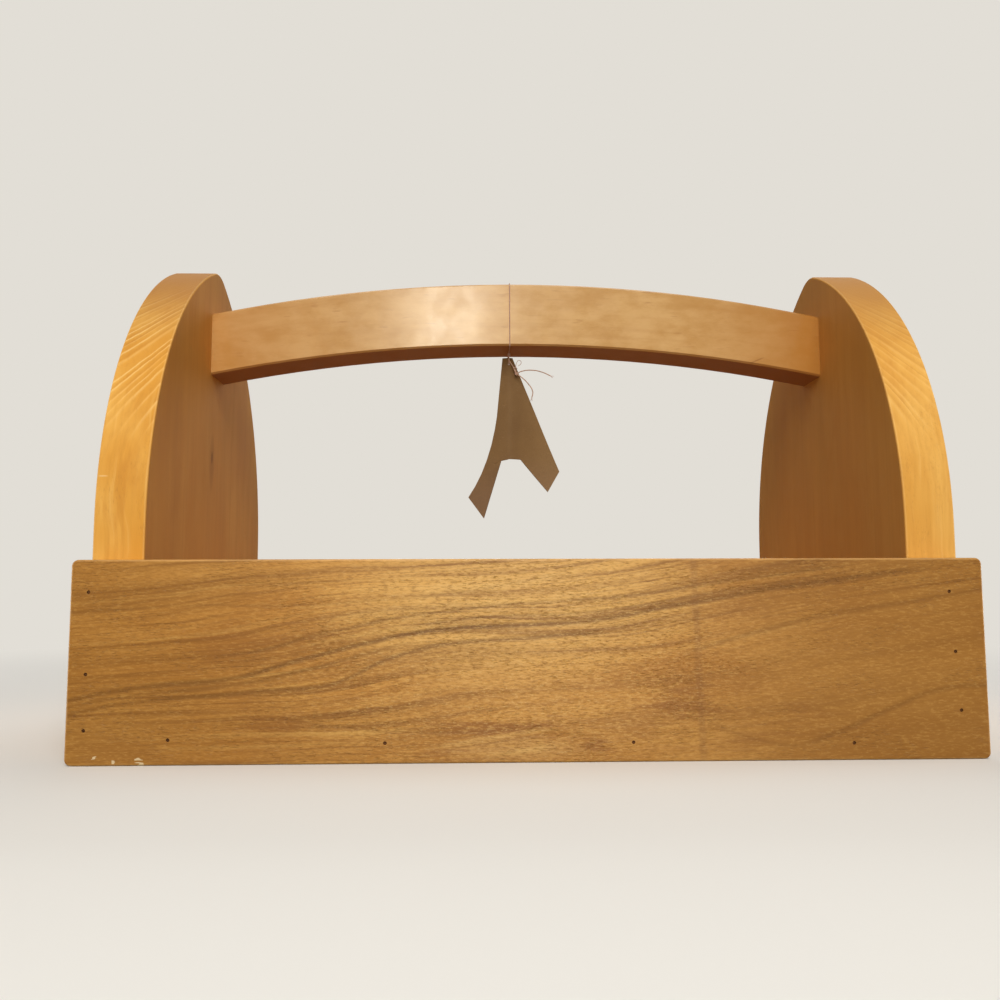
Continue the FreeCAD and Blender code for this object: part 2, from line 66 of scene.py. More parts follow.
class Bench:
    """Lays out and wires the nodes of one tree."""

    def __init__(self, tree):
        self.tree = tree

    def node(self, kind, inputs=None, **settings):
        made = self.tree.nodes.new(kind)
        for name, value in settings.items():
            setattr(made, name, value)
        for key, value in (inputs or {}).items():
            if isinstance(value, bpy.types.NodeSocket):
                self.tree.links.new(value, made.inputs[key])
            else:
                made.inputs[key].default_value = value
        return made

    def group(self, tree, inputs):
        """The results of a shared effect."""
        return self.node("ShaderNodeGroup", inputs, node_tree=tree).outputs

    def math(self, operation, first, second=0.0):
        return self.node("ShaderNodeMath", {0: first, 1: second}, operation=operation).outputs[0]

    def add(self, first, second):
        return self.math("ADD", first, second)

    def less(self, first, second):
        return self.math("SUBTRACT", first, second)

    def times(self, first, second):
        return self.math("MULTIPLY", first, second)

    def size(self, value):
        return self.math("ABSOLUTE", value)

    def flip(self, value):
        return self.math("SUBTRACT", 1.0, value)

    def band(self, value, low, high):
        """0 below low, 1 above high, smooth between."""
        return self.node(
            "ShaderNodeMapRange", {"Value": value, "From Min": low, "From Max": high},
            interpolation_type="SMOOTHSTEP",
        ).outputs["Result"]

    def fade(self, value, low, high):
        """1 below low, 0 above high, smooth between."""
        return self.flip(self.band(value, low, high))

    def spread(self, value, low, high):
        """A 0 to 1 value spread between two numbers."""
        ends = {"Value": value, "To Min": low, "To Max": high}
        return self.node("ShaderNodeMapRange", ends).outputs["Result"]

    def scaled(self, place, factors):
        return self.node("ShaderNodeVectorMath", {0: place, 1: factors}, operation="MULTIPLY").outputs[0]

    def moved(self, place, by):
        return self.node("ShaderNodeVectorMath", {0: place, 1: by}, operation="ADD").outputs[0]

    def noise(self, place, detail=2.0, roughness=0.5, distortion=0.0):
        return self.node("ShaderNodeTexNoise", {
            "Vector": place, "Scale": 1.0, "Detail": detail, "Roughness": roughness, "Distortion": distortion,
        }).outputs["Fac"]

    def paint(self, mask, under, over):
        """One colour over another by a mask."""
        return self.node("ShaderNodeMix", {0: mask, 6: under, 7: over}, data_type="RGBA").outputs[2]

    def parts(self, place):
        return self.node("ShaderNodeSeparateXYZ", {0: place}).outputs

    def vector(self, x, y, z):
        return self.node("ShaderNodeCombineXYZ", {0: x, 1: y, 2: z}).outputs[0]

    def coordinates(self, kind="Object"):
        return self.node("ShaderNodeTexCoord").outputs[kind]

    def spot(self, across, up, middle, reach):
        """A soft round spot, 1 at its middle and 0 past its reach."""
        x = self.math("DIVIDE", self.less(across, middle[0]), reach[0])
        y = self.math("DIVIDE", self.less(up, middle[1]), reach[1])
        return self.fade(self.add(self.times(x, x), self.times(y, y)), 0.0, 1.0)


def new_group(name, vectors, floats, results):
    """An empty shader group: its bench, its named inputs and its output node."""
    tree = bpy.data.node_groups.new(name, "ShaderNodeTree")
    for label in vectors:
        tree.interface.new_socket(label, in_out="INPUT", socket_type="NodeSocketVector")
    for label in floats:
        tree.interface.new_socket(label, in_out="INPUT", socket_type="NodeSocketFloat")
    for label in results:
        tree.interface.new_socket(label, in_out="OUTPUT", socket_type="NodeSocketFloat")
    bench = Bench(tree)
    return bench, bench.node("NodeGroupInput").outputs, bench.node("NodeGroupOutput")


def send(bench, end, values):
    """Wire a group's results to its output node."""
    for label, value in values.items():
        bench.tree.links.new(value, end.inputs[label])


# Shared effects

def growth_rings():
    """Rings round the heart of the log, in coordinates whose X runs along the grain."""
    bench, given, end = new_group(
        "growth_rings", ["Place"],
        ["Heart Y", "Heart Z", "Lean Y", "Lean Z", "Ring Width", "Wander", "Seed"],
        ["Late", "Early", "Ring Tone"],
    )
    x, y, z = bench.parts(given["Place"])
    seeded = bench.moved(given["Place"], bench.vector(given["Seed"], given["Seed"], given["Seed"]))
    slow = bench.less(bench.noise(bench.scaled(seeded, (6.0, 17.0, 17.0)), 1.5), 0.5)
    quick = bench.less(bench.noise(bench.scaled(seeded, (45.0, 190.0, 190.0))), 0.5)
    wobble = bench.times(bench.add(slow, bench.times(quick, 0.15)), given["Wander"])
    across = bench.less(bench.less(y, given["Heart Y"]), bench.times(given["Lean Y"], x))
    up = bench.less(bench.less(z, given["Heart Z"]), bench.times(given["Lean Z"], x))
    radius = bench.math("SQRT", bench.add(bench.times(across, across), bench.times(up, up)))
    count = bench.math("DIVIDE", bench.add(radius, wobble), given["Ring Width"])
    uneven = bench.noise(bench.vector(bench.times(count, 0.45), given["Seed"], 0.0), 1.0)
    count = bench.add(count, bench.times(uneven, 2.2))
    phase = bench.math("FRACT", count)
    which = bench.add(bench.math("FLOOR", count), given["Seed"])
    tone = bench.node("ShaderNodeTexWhiteNoise", {"W": which}, noise_dimensions="1D").outputs["Value"]
    late = bench.times(bench.band(phase, 0.35, 0.93), bench.fade(phase, 0.94, 1.0))
    early = bench.times(bench.band(phase, 0.0, 0.10), bench.fade(phase, 0.14, 0.40))
    send(bench, end, {"Late": late, "Early": early, "Ring Tone": tone})
    return bench.tree


def wood_fibre():
    """Long streaks, a short fine nap, dark pores, pale glints and slow clouds along the grain."""
    bench, given, end = new_group(
        "wood_fibre", ["Place"], ["Seed"], ["Streak", "Nap", "Pore", "Glint", "Cloud"],
    )
    place = bench.moved(given["Place"], bench.vector(given["Seed"], given["Seed"], given["Seed"]))
    streak = bench.noise(bench.scaled(place, (14.0, 420.0, 420.0)), 4.0, 0.62)
    nap = bench.noise(bench.scaled(place, (430.0, 1500.0, 1500.0)), 2.0, 0.6)
    dash = bench.noise(bench.scaled(place, (330.0, 2600.0, 2600.0)), 1.0)
    gate = bench.noise(bench.scaled(place, (30.0, 90.0, 90.0)), 1.0)
    pore = bench.times(bench.band(dash, 0.60, 0.72), bench.band(gate, 0.40, 0.62))
    fine_place = bench.moved(bench.scaled(place, (520.0, 2200.0, 2200.0)), (7.0, 3.0, 5.0))
    glint = bench.band(bench.noise(fine_place, 2.0, 0.7), 0.54, 0.74)
    cloud = bench.noise(bench.scaled(place, (11.0, 34.0, 34.0)), 3.0, 0.55)
    send(bench, end, {"Streak": streak, "Nap": nap, "Pore": pore, "Glint": glint, "Cloud": cloud})
    return bench.tree


def painted_edge_highlight():
    """A mask along the edges of a squared board, from its lowest and highest corners, for a painted highlight
    there.
    """
    bench, given, end = new_group("painted_edge_highlight", ["Place", "Low", "High"], ["Width"], ["Edge"])
    place = bench.parts(given["Place"])
    low = bench.parts(given["Low"])
    high = bench.parts(given["High"])
    gaps = []
    for axis in range(3):
        from_low = bench.less(place[axis], low[axis])
        from_high = bench.less(high[axis], place[axis])
        gaps.append(bench.math("MINIMUM", from_low, from_high))
    smaller = bench.math("MINIMUM", gaps[0], gaps[1])
    larger = bench.math("MAXIMUM", gaps[0], gaps[1])
    second = bench.math("MAXIMUM", smaller, bench.math("MINIMUM", larger, gaps[2]))
    ragged = bench.noise(bench.scaled(given["Place"], (90.0, 90.0, 90.0)), 3.0)
    reach = bench.times(given["Width"], bench.spread(ragged, 0.3, 1.5))
    send(bench, end, {"Edge": bench.fade(bench.math("DIVIDE", second, reach), 0.35, 1.0)})
    return bench.tree


RINGS = growth_rings()
FIBRE = wood_fibre()
ARRIS = painted_edge_highlight()


# Coats

def material(name):
    """A new material with no nodes yet, and its bench."""
    made = bpy.data.materials.new(name)
    made.use_nodes = True
    made.node_tree.nodes.clear()
    return made, Bench(made.node_tree)


class Coat:
    """A material whose colour is laid on in thin layers."""

    def __init__(self, name):
        self.made, self.bench = material(name)
        self.place = self.bench.coordinates()
        self.colour = None

    def start(self, mask, deep, pale):
        """The first two colours, deep where the mask is 0 and pale where it is 1."""
        self.colour = self.bench.paint(mask, srgb(*deep), srgb(*pale))

    def lay(self, mask, strength, over):
        """One more colour, where the mask says, at a share of its strength."""
        self.colour = self.bench.paint(self.bench.times(mask, strength), self.colour, srgb(*over))

    def noise(self, scale, detail=2.0, roughness=0.5, distortion=0.0, shift=None):
        """Noise in the piece's own coordinates, from another place in them where shifted."""
        place = self.bench.moved(self.place, shift) if shift else self.place
        return self.bench.noise(self.bench.scaled(place, scale), detail, roughness, distortion)

    def wander(self, scale, detail=3.0, roughness=0.5):
        """Noise to both sides of nothing."""
        return self.bench.less(self.noise(scale, detail, roughness), 0.5)

    def finish(self, roughness, height, depth, sockets=None):
        """The surface shader with its bump, and the finished material."""
        bump = self.bench.node("ShaderNodeBump", {"Height": height, "Distance": depth, "Strength": 1.0})
        inputs = {"Base Color": self.colour, "Roughness": roughness, "Normal": bump.outputs["Normal"]}
        inputs.update(sockets or {})
        shader = self.bench.node("ShaderNodeBsdfPrincipled", inputs)
        self.bench.node("ShaderNodeOutputMaterial", {"Surface": shader.outputs[0]})
        return self.made


class WoodCoat(Coat):
    """A coat whose fibres run along one axis of the piece."""

    def __init__(self, name, grain_axis, seed):
        super().__init__(name)
        x, y, z = self.bench.parts(self.place)
        self.x, self.y, self.z = x, y, z
        along_first = {"X": (x, y, z), "Y": (y, x, z), "Z": (z, y, x)}
        self.grain = self.bench.vector(*along_first[grain_axis])
        self.fibre = self.bench.group(FIBRE, {"Place": self.grain, "Seed": seed})
        self.clouds = self.bench.band(self.fibre["Cloud"], 0.30, 0.72)

    def arris(self, node, width):
        """1 along the edges of a squared board, where a pale painted highlight goes."""
        low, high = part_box(node)
        ends = {"Place": self.place, "Low": tuple(low), "High": tuple(high), "Width": width}
        return self.bench.group(ARRIS, ends)["Edge"]


# Front board

# The front board's darker grain lines: points along each in mm, half width in mm and strength
BOARD_LINES = [
    ([(-204, 27.6), (-161, 34.7), (-134, 36.9), (-101, 45.4), (-74, 52.0), (-54, 56.0), (-33, 58.3),
      (-15, 59.2), (28, 61.9), (70, 69.0), (106, 74.8), (141, 80.1), (183, 84.6)], 1.5, 0.86),
    ([(-204, 21.3), (-169, 27.6), (-123, 31.1), (-92, 33.8), (-77, 39.1), (-60, 46.7), (-33, 52.0),
      (2, 54.3), (40, 56.5)], 1.4, 0.70),
    ([(-204, 24.4), (-169, 30.6), (-134, 34.0), (-100, 40.5), (-74, 47.5), (-50, 52.5)], 1.3, 0.48),
    ([(-150, 44.0), (-114, 50.7), (-86, 58.0), (-54, 64.1), (-10, 69.0), (41, 72.5), (101, 80.8),
      (145, 86.3)], 1.1, 0.56),
    ([(-60, 58.5), (-20, 63.0), (28, 65.4), (70, 71.6), (106, 77.6), (150, 84.0)], 0.9, 0.50),
    ([(60, 44.0), (80, 50.8), (103, 57.4), (134, 64.0), (165, 69.0), (203, 75.4)], 1.7, 0.46),
    ([(112, 5.0), (138, 13.3), (162, 23.5), (183, 30.7), (204, 32.0)], 1.7, 0.62),
    ([(70, 20.5), (86, 13.2), (103, 8.0), (128, 5.8)], 1.1, 0.34),
    ([(-150, 18.5), (-118, 20.2), (-90, 16.6), (-40, 13.6), (14, 14.8)], 1.0, 0.34),
    ([(-204, 66.0), (-150, 68.5), (-92, 69.5), (-38, 73.5), (-7, 78.5), (18, 84.0)], 0.9, 0.30),
    ([(-150, 76.5), (-110, 78.5), (-70, 79.5)], 0.7, 0.26),
    ([(-49, 4.4), (-27, 7.6), (1, 11.3), (15, 12.6)], 0.6, 0.40),
    ([(-44, 9.2), (-30, 11.4), (-12, 13.2)], 0.5, 0.36),
]
# Its paler silky lines, two low and two high about its middle
BOARD_GLEAMS = [
    ([(-49, 6.4), (-27, 9.4), (1, 13.2), (15, 14.2)], 1.2, 0.55),
    ([(-22, 3.0), (1, 6.0), (18, 8.4)], 1.6, 0.60),
    ([(-60, 75.0), (-24, 76.5), (4, 80.0), (24, 86.0)], 2.4, 0.40),
    ([(-96, 62.0), (-50, 67.6), (0, 71.0), (40, 75.0)], 1.8, 0.30),
]
# Its dark and ruddy patches: middle and reach in mm, and strength
BOARD_PATCHES = [
    ((21, 7.0), (9, 5), 0.62), ((66, 24), (24, 5.4), 0.66), ((72, 31), (12, 3.2), 0.50),
    ((-14, 16), (40, 3.4), 0.60), ((-112, 18), (24, 4), 0.42), ((-134, 52), (26, 10), 0.34),
    ((-41, 6), (12, 5), 0.36), ((-180, 6), (30, 7), 0.30), ((96, 9), (12, 6), 0.34),
    ((120, 22), (18, 4), 0.25), ((44, 17), (22, 7), 0.30),
]
# Small pale chips along its lower left edge: place along, place up and reach in mm
BOARD_CHIPS = [(-190.5, 2.4, 1.0), (-181.5, 0.9, 0.8), (-170.8, 1.1, 2.2)]
# Dark pin marks of its face: place along and place up in mm
BOARD_SPECKS = [(-165.8, 74.1), (48.1, 78.8), (80.3, 12.4), (189.3, 21.3), (-96.0, 47.0), (12.5, 66.0)]
# How far to each side the drawn lines are read, their greatest height, the place past which they
# run off the board, and the length over which they fade
LINE_END_X = 0.205
LINE_TOP = 0.1
LINE_RUN_OFF_X = 0.2
LINE_FADE = 0.02
# The stain across the board: where it meets the lower edge, and its run along for each rise
STAIN_X = 0.0747
STAIN_LEAN = -0.031


def in_metres(lengths):
    """Lengths given in mm, in metres."""
    return tuple(length * MILLIMETRE for length in lengths)


def board_field(coat):
    """The height of each grain line at the board's middle, which follows the swell of the drawn lines."""
    bench, x, z = coat.bench, coat.x, coat.z
    sunk = bench.times(bench.less(0.050, bench.math("MINIMUM", z, 0.085)), 1.6)
    along = bench.less(x, sunk)
    wave = bench.add(-0.0043, bench.times(bench.band(along, -0.145, -0.045), 0.0081))
    wave = bench.less(wave, bench.times(bench.band(along, -0.030, 0.050), 0.0050))
    wave = bench.add(wave, bench.times(bench.band(along, 0.055, 0.170), 0.0024))
    hold = bench.times(bench.band(z, 0.004, 0.030), bench.fade(z, 0.056, 0.090))
    wave = bench.times(wave, bench.spread(hold, 0.15, 1.0))
    rising = bench.band(z, 0.0, 0.06)
    flat = bench.spread(rising, 0.030, 0.060)
    steep = bench.spread(rising, 0.080, 0.140)
    slope = bench.add(flat, bench.times(bench.band(x, -0.060, 0.110), bench.less(steep, flat)))
    field = bench.less(bench.less(z, bench.times(x, slope)), wave)
    return bench.add(field, bench.times(bench.less(coat.y, BOARD_FACE_Y), 0.35))


def line_height(bench, x, points):
    """The height, at each place along the board, of a line drawn through points in mm."""
    ends = {"Value": x, "From Min": -LINE_END_X, "From Max": LINE_END_X}
    share = bench.node("ShaderNodeMapRange", ends).outputs["Result"]
    curve = bench.node("ShaderNodeFloatCurve", {"Value": share})
    places = [
        ((along * MILLIMETRE + LINE_END_X) / (2 * LINE_END_X), height * MILLIMETRE / LINE_TOP)
        for along, height in points
    ]
    dots = curve.mapping.curves[0].points
    dots[0].location = places[0]
    dots[1].location = places[-1]
    for place in places[1:-1]:
        dots.new(*place)
    curve.mapping.update()
    return bench.times(curve.outputs["Value"], LINE_TOP)


def drawn_strokes(bench, x, up, lines):
    """The strongest, at each place, of the soft strokes drawn along the board."""
    strokes = 0.0
    for points, half_width, strength in lines:
        gap = bench.size(bench.less(up, line_height(bench, x, points)))
        gap = bench.math("DIVIDE", gap, half_width * MILLIMETRE)
        stroke = bench.times(bench.fade(gap, 0.0, 1.3), strength)
        start, stop = in_metres((points[0][0], points[-1][0]))
        if start > -LINE_RUN_OFF_X:
            stroke = bench.times(stroke, bench.band(x, start, start + LINE_FADE))
        if stop < LINE_RUN_OFF_X:
            stroke = bench.times(stroke, bench.fade(x, stop - LINE_FADE, stop))
        strokes = bench.math("MAXIMUM", stroke, strokes)
    return strokes


def board_ground(coat):
    """Cloudy honey brown, with a broad painted highlight at the middle and a narrow painted highlight low
    beside it.
    """
    bench, x, z = coat.bench, coat.x, coat.z
    coat.start(coat.clouds, (182, 123, 48), (208, 150, 70))
    shade = coat.noise((18.0, 30.0, 52.0), 3.0, 0.6, shift=(0.1, 0.0, 0.4))
    coat.lay(bench.band(shade, 0.48, 0.76), 0.40, (152, 97, 34))
    # Painted highlight: a broad pale spot at the middle, where the light's reflection falls.
    leant_x = bench.less(x, bench.times(z, 0.4))
    coat.lay(bench.spot(leant_x, z, (-0.034, 0.072), (0.100, 0.046)), 0.66, (230, 180, 98))
    # Painted highlight: a narrow pale spot low at the middle.
    coat.lay(bench.spot(x, z, (-0.010, 0.006), (0.040, 0.007)), 0.50, (222, 172, 100))


def board_figure(coat, jitter):
    """Broad, fine and hair lines that follow the field, faint on the plain patch low on the right."""
    bench, x = coat.bench, coat.x
    field = bench.add(board_field(coat), bench.times(jitter, 0.0026))
    plain = bench.times(bench.fade(field, 0.036, 0.052), bench.band(x, -0.09, -0.01))
    lined = bench.flip(plain)
    broad = bench.noise(bench.vector(bench.times(field, 95.0), bench.times(x, 2.2), 4.0))
    fine = bench.noise(bench.vector(bench.times(field, 300.0), bench.times(x, 5.0), 1.0), 2.0, 0.6)
    hair = bench.noise(bench.vector(bench.times(field, 1100.0), bench.times(x, 16.0), 7.0))
    coat.lay(bench.band(broad, 0.44, 0.70), 0.54, (146, 96, 34))
    coat.lay(bench.band(fine, 0.46, 0.72), bench.spread(lined, 0.22, 0.86), (130, 82, 24))
    coat.lay(bench.fade(fine, 0.26, 0.46), bench.spread(lined, 0.10, 0.42), (226, 176, 94))
    coat.lay(bench.band(hair, 0.48, 0.72), bench.spread(lined, 0.16, 0.42), (126, 80, 26))


def board_strokes(coat, jitter):
    """The drawn dark lines and the silky gleams; gives the strength of the dark ones."""
    bench = coat.bench
    up = bench.add(coat.z, bench.times(jitter, 0.0022))
    uneven = bench.spread(coat.noise((22.0, 30.0, 60.0)), 0.45, 1.35)
    strokes = bench.times(drawn_strokes(bench, coat.x, up, BOARD_LINES), uneven)
    coat.lay(strokes, 1.0, (108, 68, 16))
    broken = bench.spread(coat.noise((30.0, 60.0, 700.0)), 0.0, 1.8)
    coat.lay(drawn_strokes(bench, coat.x, up, BOARD_GLEAMS), broken, (232, 184, 106))
    return strokes


def torn_along_grain(coat, jitter):
    """The board's two coordinates, ragged along the grain."""
    bench = coat.bench
    brushed = coat.wander((26.0, 60.0, 620.0), roughness=0.6)
    across = bench.add(bench.add(coat.x, bench.times(jitter, 0.030)), bench.times(brushed, 0.050))
    ragged = coat.wander((34.0, 60.0, 210.0), roughness=0.65)
    return across, bench.add(coat.z, bench.times(ragged, 0.016))


def board_painted_shade_and_stain(coat):
    """Painted shade, darker towards both ends, over the right half and along the lower edge, and the faint
    stain across the board.
    """
    bench, x, z = coat.bench, coat.x, coat.z
    # Painted shade: the ends, the right half and the lower edge darker, away from the brightly lit middle.
    coat.lay(bench.band(bench.size(bench.add(x, 0.012)), 0.05, 0.215), 0.46, (134, 84, 22))
    coat.lay(bench.band(x, 0.02, 0.14), 0.34, (120, 76, 24))
    coat.lay(bench.fade(z, 0.004, 0.046), 0.20, (116, 72, 24))
    beside = bench.size(bench.less(bench.less(x, STAIN_X), bench.times(z, STAIN_LEAN)))
    uneven = bench.spread(coat.noise((30.0, 30.0, 60.0)), 0.10, 0.46)
    coat.lay(bench.fade(beside, 0.0006, 0.0024), uneven, (122, 76, 34))


def board_nap_and_painted_sheen(coat):
    """The nap, the pores and painted glints, laid as a painted sheen that is strongest inside a painted
    highlight at the middle.
    """
    bench, fibre = coat.bench, coat.fibre
    # Painted highlight: a broad spot at the middle that strengthens the nap, pores and glints as painted
    # sheen.
    painted_shine = bench.spot(coat.x, coat.z, (-0.010, 0.050), (0.13, 0.080))
    coat.lay(bench.band(fibre["Nap"], 0.46, 0.72), bench.spread(painted_shine, 0.38, 0.62), (140, 92, 30))
    coat.lay(bench.fade(fibre["Nap"], 0.28, 0.50), bench.spread(painted_shine, 0.20, 0.42), (222, 172, 94))
    coat.lay(fibre["Pore"], bench.spread(painted_shine, 0.06, 0.20), (104, 64, 20))
    coat.lay(fibre["Glint"], bench.spread(painted_shine, 0.0, 0.40), (240, 200, 128))


def board_marks(coat, jitter, torn):
    """A painted highlight along the edges, pin marks and chips."""
    bench = coat.bench
    # Painted highlight: pale along the board's edges.
    coat.lay(coat.arris("front_board", 1.3 * MILLIMETRE), 0.42, (216, 166, 100))
    for middle in BOARD_SPECKS:
        speck = bench.spot(*torn, in_metres(middle), in_metres((1.2, 0.6)))
        coat.lay(bench.band(speck, 0.0, 0.5), 0.6, (104, 60, 18))
    across = bench.add(coat.x, bench.times(jitter, 0.006))
    for along, up, reach in BOARD_CHIPS:
        chip = bench.spot(across, torn[1], in_metres((along, up)), in_metres((reach, 0.6)))
        coat.lay(bench.band(chip, 0.0, 0.3), 0.75, (232, 208, 164))


def front_board_wood():
    """Honey-brown board with two dark climbing lines among many faint ones."""
    coat = WoodCoat("honey_board", "X", 1.7)
    bench, fibre = coat.bench, coat.fibre
    jitter = coat.wander((26.0, 60.0, 110.0))
    board_ground(coat)
    board_figure(coat, jitter)
    strokes = board_strokes(coat, jitter)
    torn = torn_along_grain(coat, jitter)
    for middle, reach, strength in BOARD_PATCHES:
        patch = bench.spot(*torn, in_metres(middle), in_metres(reach))
        coat.lay(patch, strength, (130, 74, 20))
    board_painted_shade_and_stain(coat)
    board_nap_and_painted_sheen(coat)
    board_marks(coat, jitter, torn)
    height = bench.less(bench.times(fibre["Streak"], 0.4), bench.times(fibre["Pore"], 0.6))
    height = bench.add(bench.less(height, bench.times(strokes, 0.2)), bench.times(fibre["Nap"], 0.35))
    roughness = bench.spread(fibre["Nap"], 0.34, 0.52)
    return coat.finish(roughness, height, 0.00022, {"Specular IOR Level": 0.30})


# End panels

def panel_rings(coat, side, line_strength, edge):
    """Rings that cross the arched edge as thin slanting lines; gives the strength of the pale ones."""
    bench = coat.bench
    rings = bench.group(RINGS, {
        "Place": coat.grain, "Heart Y": 0.015, "Heart Z": side * 0.262,
        "Ring Width": 0.0027, "Wander": 0.0042, "Seed": 5.3 + side,
    })
    on_arch = bench.times(bench.band(coat.z, 0.144, 0.176), edge)
    late = bench.times(rings["Late"], bench.spread(rings["Ring Tone"], 0.10, 0.55))
    coat.lay(late, bench.spread(on_arch, 0.12, 0.80), (186, 122, 48))
    early = bench.times(rings["Early"], bench.spread(rings["Ring Tone"], 0.25, 0.90))
    patchy = bench.spread(coat.noise((60.0, 60.0, 90.0)), 0.10, 1.50)
    early = bench.times(bench.times(bench.times(early, on_arch), line_strength), patchy)
    coat.lay(early, 1.0, (252, 214, 138))
    return early


def panel_edge(coat, side, edge):
    """Faint upright lines low on the edge, and its darker crown."""
    bench, z = coat.bench, coat.z
    sway = coat.noise((14.0, 20.0, 26.0))
    comb = bench.add(bench.times(coat.x, 430.0), bench.times(sway, 3.4))
    comb = bench.noise(bench.vector(comb, bench.times(z, 14.0), side), 2.0, 0.6)
    lower = bench.times(bench.fade(z, 0.150, 0.190), edge)
    coat.lay(bench.times(bench.band(comb, 0.48, 0.68), lower), 0.24, (200, 138, 52))
    coat.lay(bench.times(bench.fade(comb, 0.28, 0.44), lower), 0.22, (250, 206, 122))
    coat.lay(bench.times(bench.band(z, 0.185, 0.250), edge), 0.90, (166, 110, 42))


def panel_face(coat, face):
    """Upright bands and hair lines on the two broad faces, and the faces darker overall, partly their own
    browner colour and partly painted shade.
    """
    bench = coat.bench
    upright = coat.noise((1.0, 46.0, 2.2), 3.0, 0.6)
    coat.lay(bench.times(bench.band(upright, 0.42, 0.66), face), 0.34, (178, 122, 54))
    hair = coat.noise((1.0, 330.0, 6.0))
    coat.lay(bench.times(bench.band(hair, 0.52, 0.72), face), 0.20, (172, 116, 50))
    # Darker broad faces: partly the flat-sawn faces' own browner colour, partly painted shade that stands in
    # for the shaded inner faces.
    coat.lay(face, 0.60, (196, 138, 68))


def left_panel_marks(coat, face, edge):
    """A small knot with its bruise on the faces, and a nick in the edge."""
    bench, y, z = coat.bench, coat.y, coat.z
    knot = bench.times(bench.spot(y, z, (-0.0076, 0.1524), (0.0016, 0.0048)), face)
    coat.lay(knot, 0.8, (96, 56, 24))
    bruise = bench.times(bench.spot(y, z, (-0.0076, 0.150), (0.006, 0.020)), face)
    coat.lay(bruise, 0.35, (150, 92, 40))
    nick = bench.times(bench.spot(z, coat.x, (0.1290, -0.200), (0.0004, 0.003)), edge)
    coat.lay(nick, 0.5, (250, 222, 164))


def panel_wood(name, side, line_strength):
    """Golden end board, on the left for side -1 and on the right for side 1."""
    coat = WoodCoat(name, "Z", 2.9 + side)
    bench, fibre = coat.bench, coat.fibre
    sideways = bench.size(bench.parts(bench.coordinates("Normal"))[0])
    face = bench.band(sideways, 0.60, 0.90)
    edge = bench.flip(face)
    coat.start(coat.clouds, (219, 154, 60), (238, 183, 92))
    coat.lay(bench.band(fibre["Streak"], 0.45, 0.78), 0.36, (200, 136, 54))
    blotch = coat.noise((110.0, 70.0, 24.0), 3.0, 0.6, 0.5, shift=(0.2, 0.5, 0.1))
    coat.lay(bench.band(blotch, 0.50, 0.74), 0.52, (202, 134, 50))
    early = panel_rings(coat, side, line_strength, edge)
    panel_edge(coat, side, edge)
    panel_face(coat, face)
    coat.lay(fibre["Pore"], 0.16, (160, 102, 44))
    # Painted highlight: pale on the rounded arrises between the broad faces and the edge.
    coat.lay(bench.times(bench.band(sideways, 0.12, 0.45), edge), 0.20, (246, 208, 136))
    if side > 0:
        coat.lay(1.0, 0.22, (206, 152, 78))
    else:
        left_panel_marks(coat, face, edge)
    height = bench.add(bench.times(fibre["Streak"], 0.4), bench.times(early, 0.35))
    height = bench.less(height, bench.times(fibre["Pore"], 0.4))
    roughness = bench.add(bench.spread(fibre["Cloud"], 0.42, 0.56), bench.times(face, 0.40))
    return coat.finish(roughness, height, 0.00018, {"Specular IOR Level": 0.16})


# Handle

# The crack low at its right: place along and place up, and its reach in both ways
CRACK_PLACE = (0.1415, 0.2100)
CRACK_REACH = (0.007, 0.003)


def handle_ends(coat):
    """Deeper colour towards both ends."""
    bench, x = coat.bench, coat.x
    coat.lay(bench.band(x, 0.080, 0.178), 0.72, (172, 114, 46))
    coat.lay(bench.band(x, 0.150, 0.177), 0.45, (160, 100, 34))
    coat.lay(bench.fade(x, -0.180, -0.060), 0.45, (180, 120, 56))


def handle_crack(coat):
    """The short slanting crack."""
    bench, x, z = coat.bench, coat.x, coat.z
    slant = bench.less(bench.times(bench.less(z, CRACK_PLACE[1]), 2.4), bench.less(x, CRACK_PLACE[0]))
    crack = bench.fade(bench.size(slant), 0.0004, 0.0016)
    coat.lay(bench.times(crack, bench.spot(x, z, CRACK_PLACE, CRACK_REACH)), 0.5, (128, 78, 36))


def handle_wood():
    """Pale peach bar with a soft blotchy figure and short dark flecks."""
    coat = WoodCoat("peach_bar", "X", 6.1)
    bench, x, fibre = coat.bench, coat.x, coat.fibre
    figure = coat.noise((46.0, 46.0, 90.0), 4.0, 0.6, 0.1)
    coat.start(bench.band(figure, 0.30, 0.70), (188, 141, 79), (206, 163, 105))
    level = bench.add(coat.z, bench.times(bench.times(x, x), HANDLE_BOW / HANDLE_END_X ** 2))
    bowed = bench.noise(bench.vector(bench.times(x, 9.0), bench.times(level, 150.0), coat.y), 3.0, 0.55)
    coat.lay(bench.band(bowed, 0.48, 0.74), 0.34, (172, 122, 62))
    coat.lay(bench.band(fibre["Streak"], 0.48, 0.80), 0.20, (180, 126, 72))
    flecks = coat.noise((70.0, 200.0, 420.0), 1.0, shift=(0.4, 0.1, 0.2))
    coat.lay(bench.band(flecks, 0.66, 0.78), 0.36, (150, 96, 48))
    handle_ends(coat)
    handle_crack(coat)
    # Painted shade: the handle's underside painted darker, where shade falls.
    under = bench.fade(bench.parts(bench.coordinates("Normal"))[2], -0.9, -0.5)
    coat.lay(under, 0.85, (152, 99, 46))
    coat.lay(fibre["Pore"], 0.12, (150, 98, 56))
    height = bench.add(bench.times(fibre["Streak"], 0.3), bench.times(figure, 0.2))
    sheen = coat.noise((90.0, 60.0, 60.0), 3.0, 0.6, shift=(0.7, 0.2, 0.3))
    roughness = bench.add(bench.spread(sheen, 0.12, 0.30), bench.times(under, 0.60))
    return coat.finish(roughness, height, 0.00012, {"Specular IOR Level": 0.30})


# Other boards, steel, card and thread

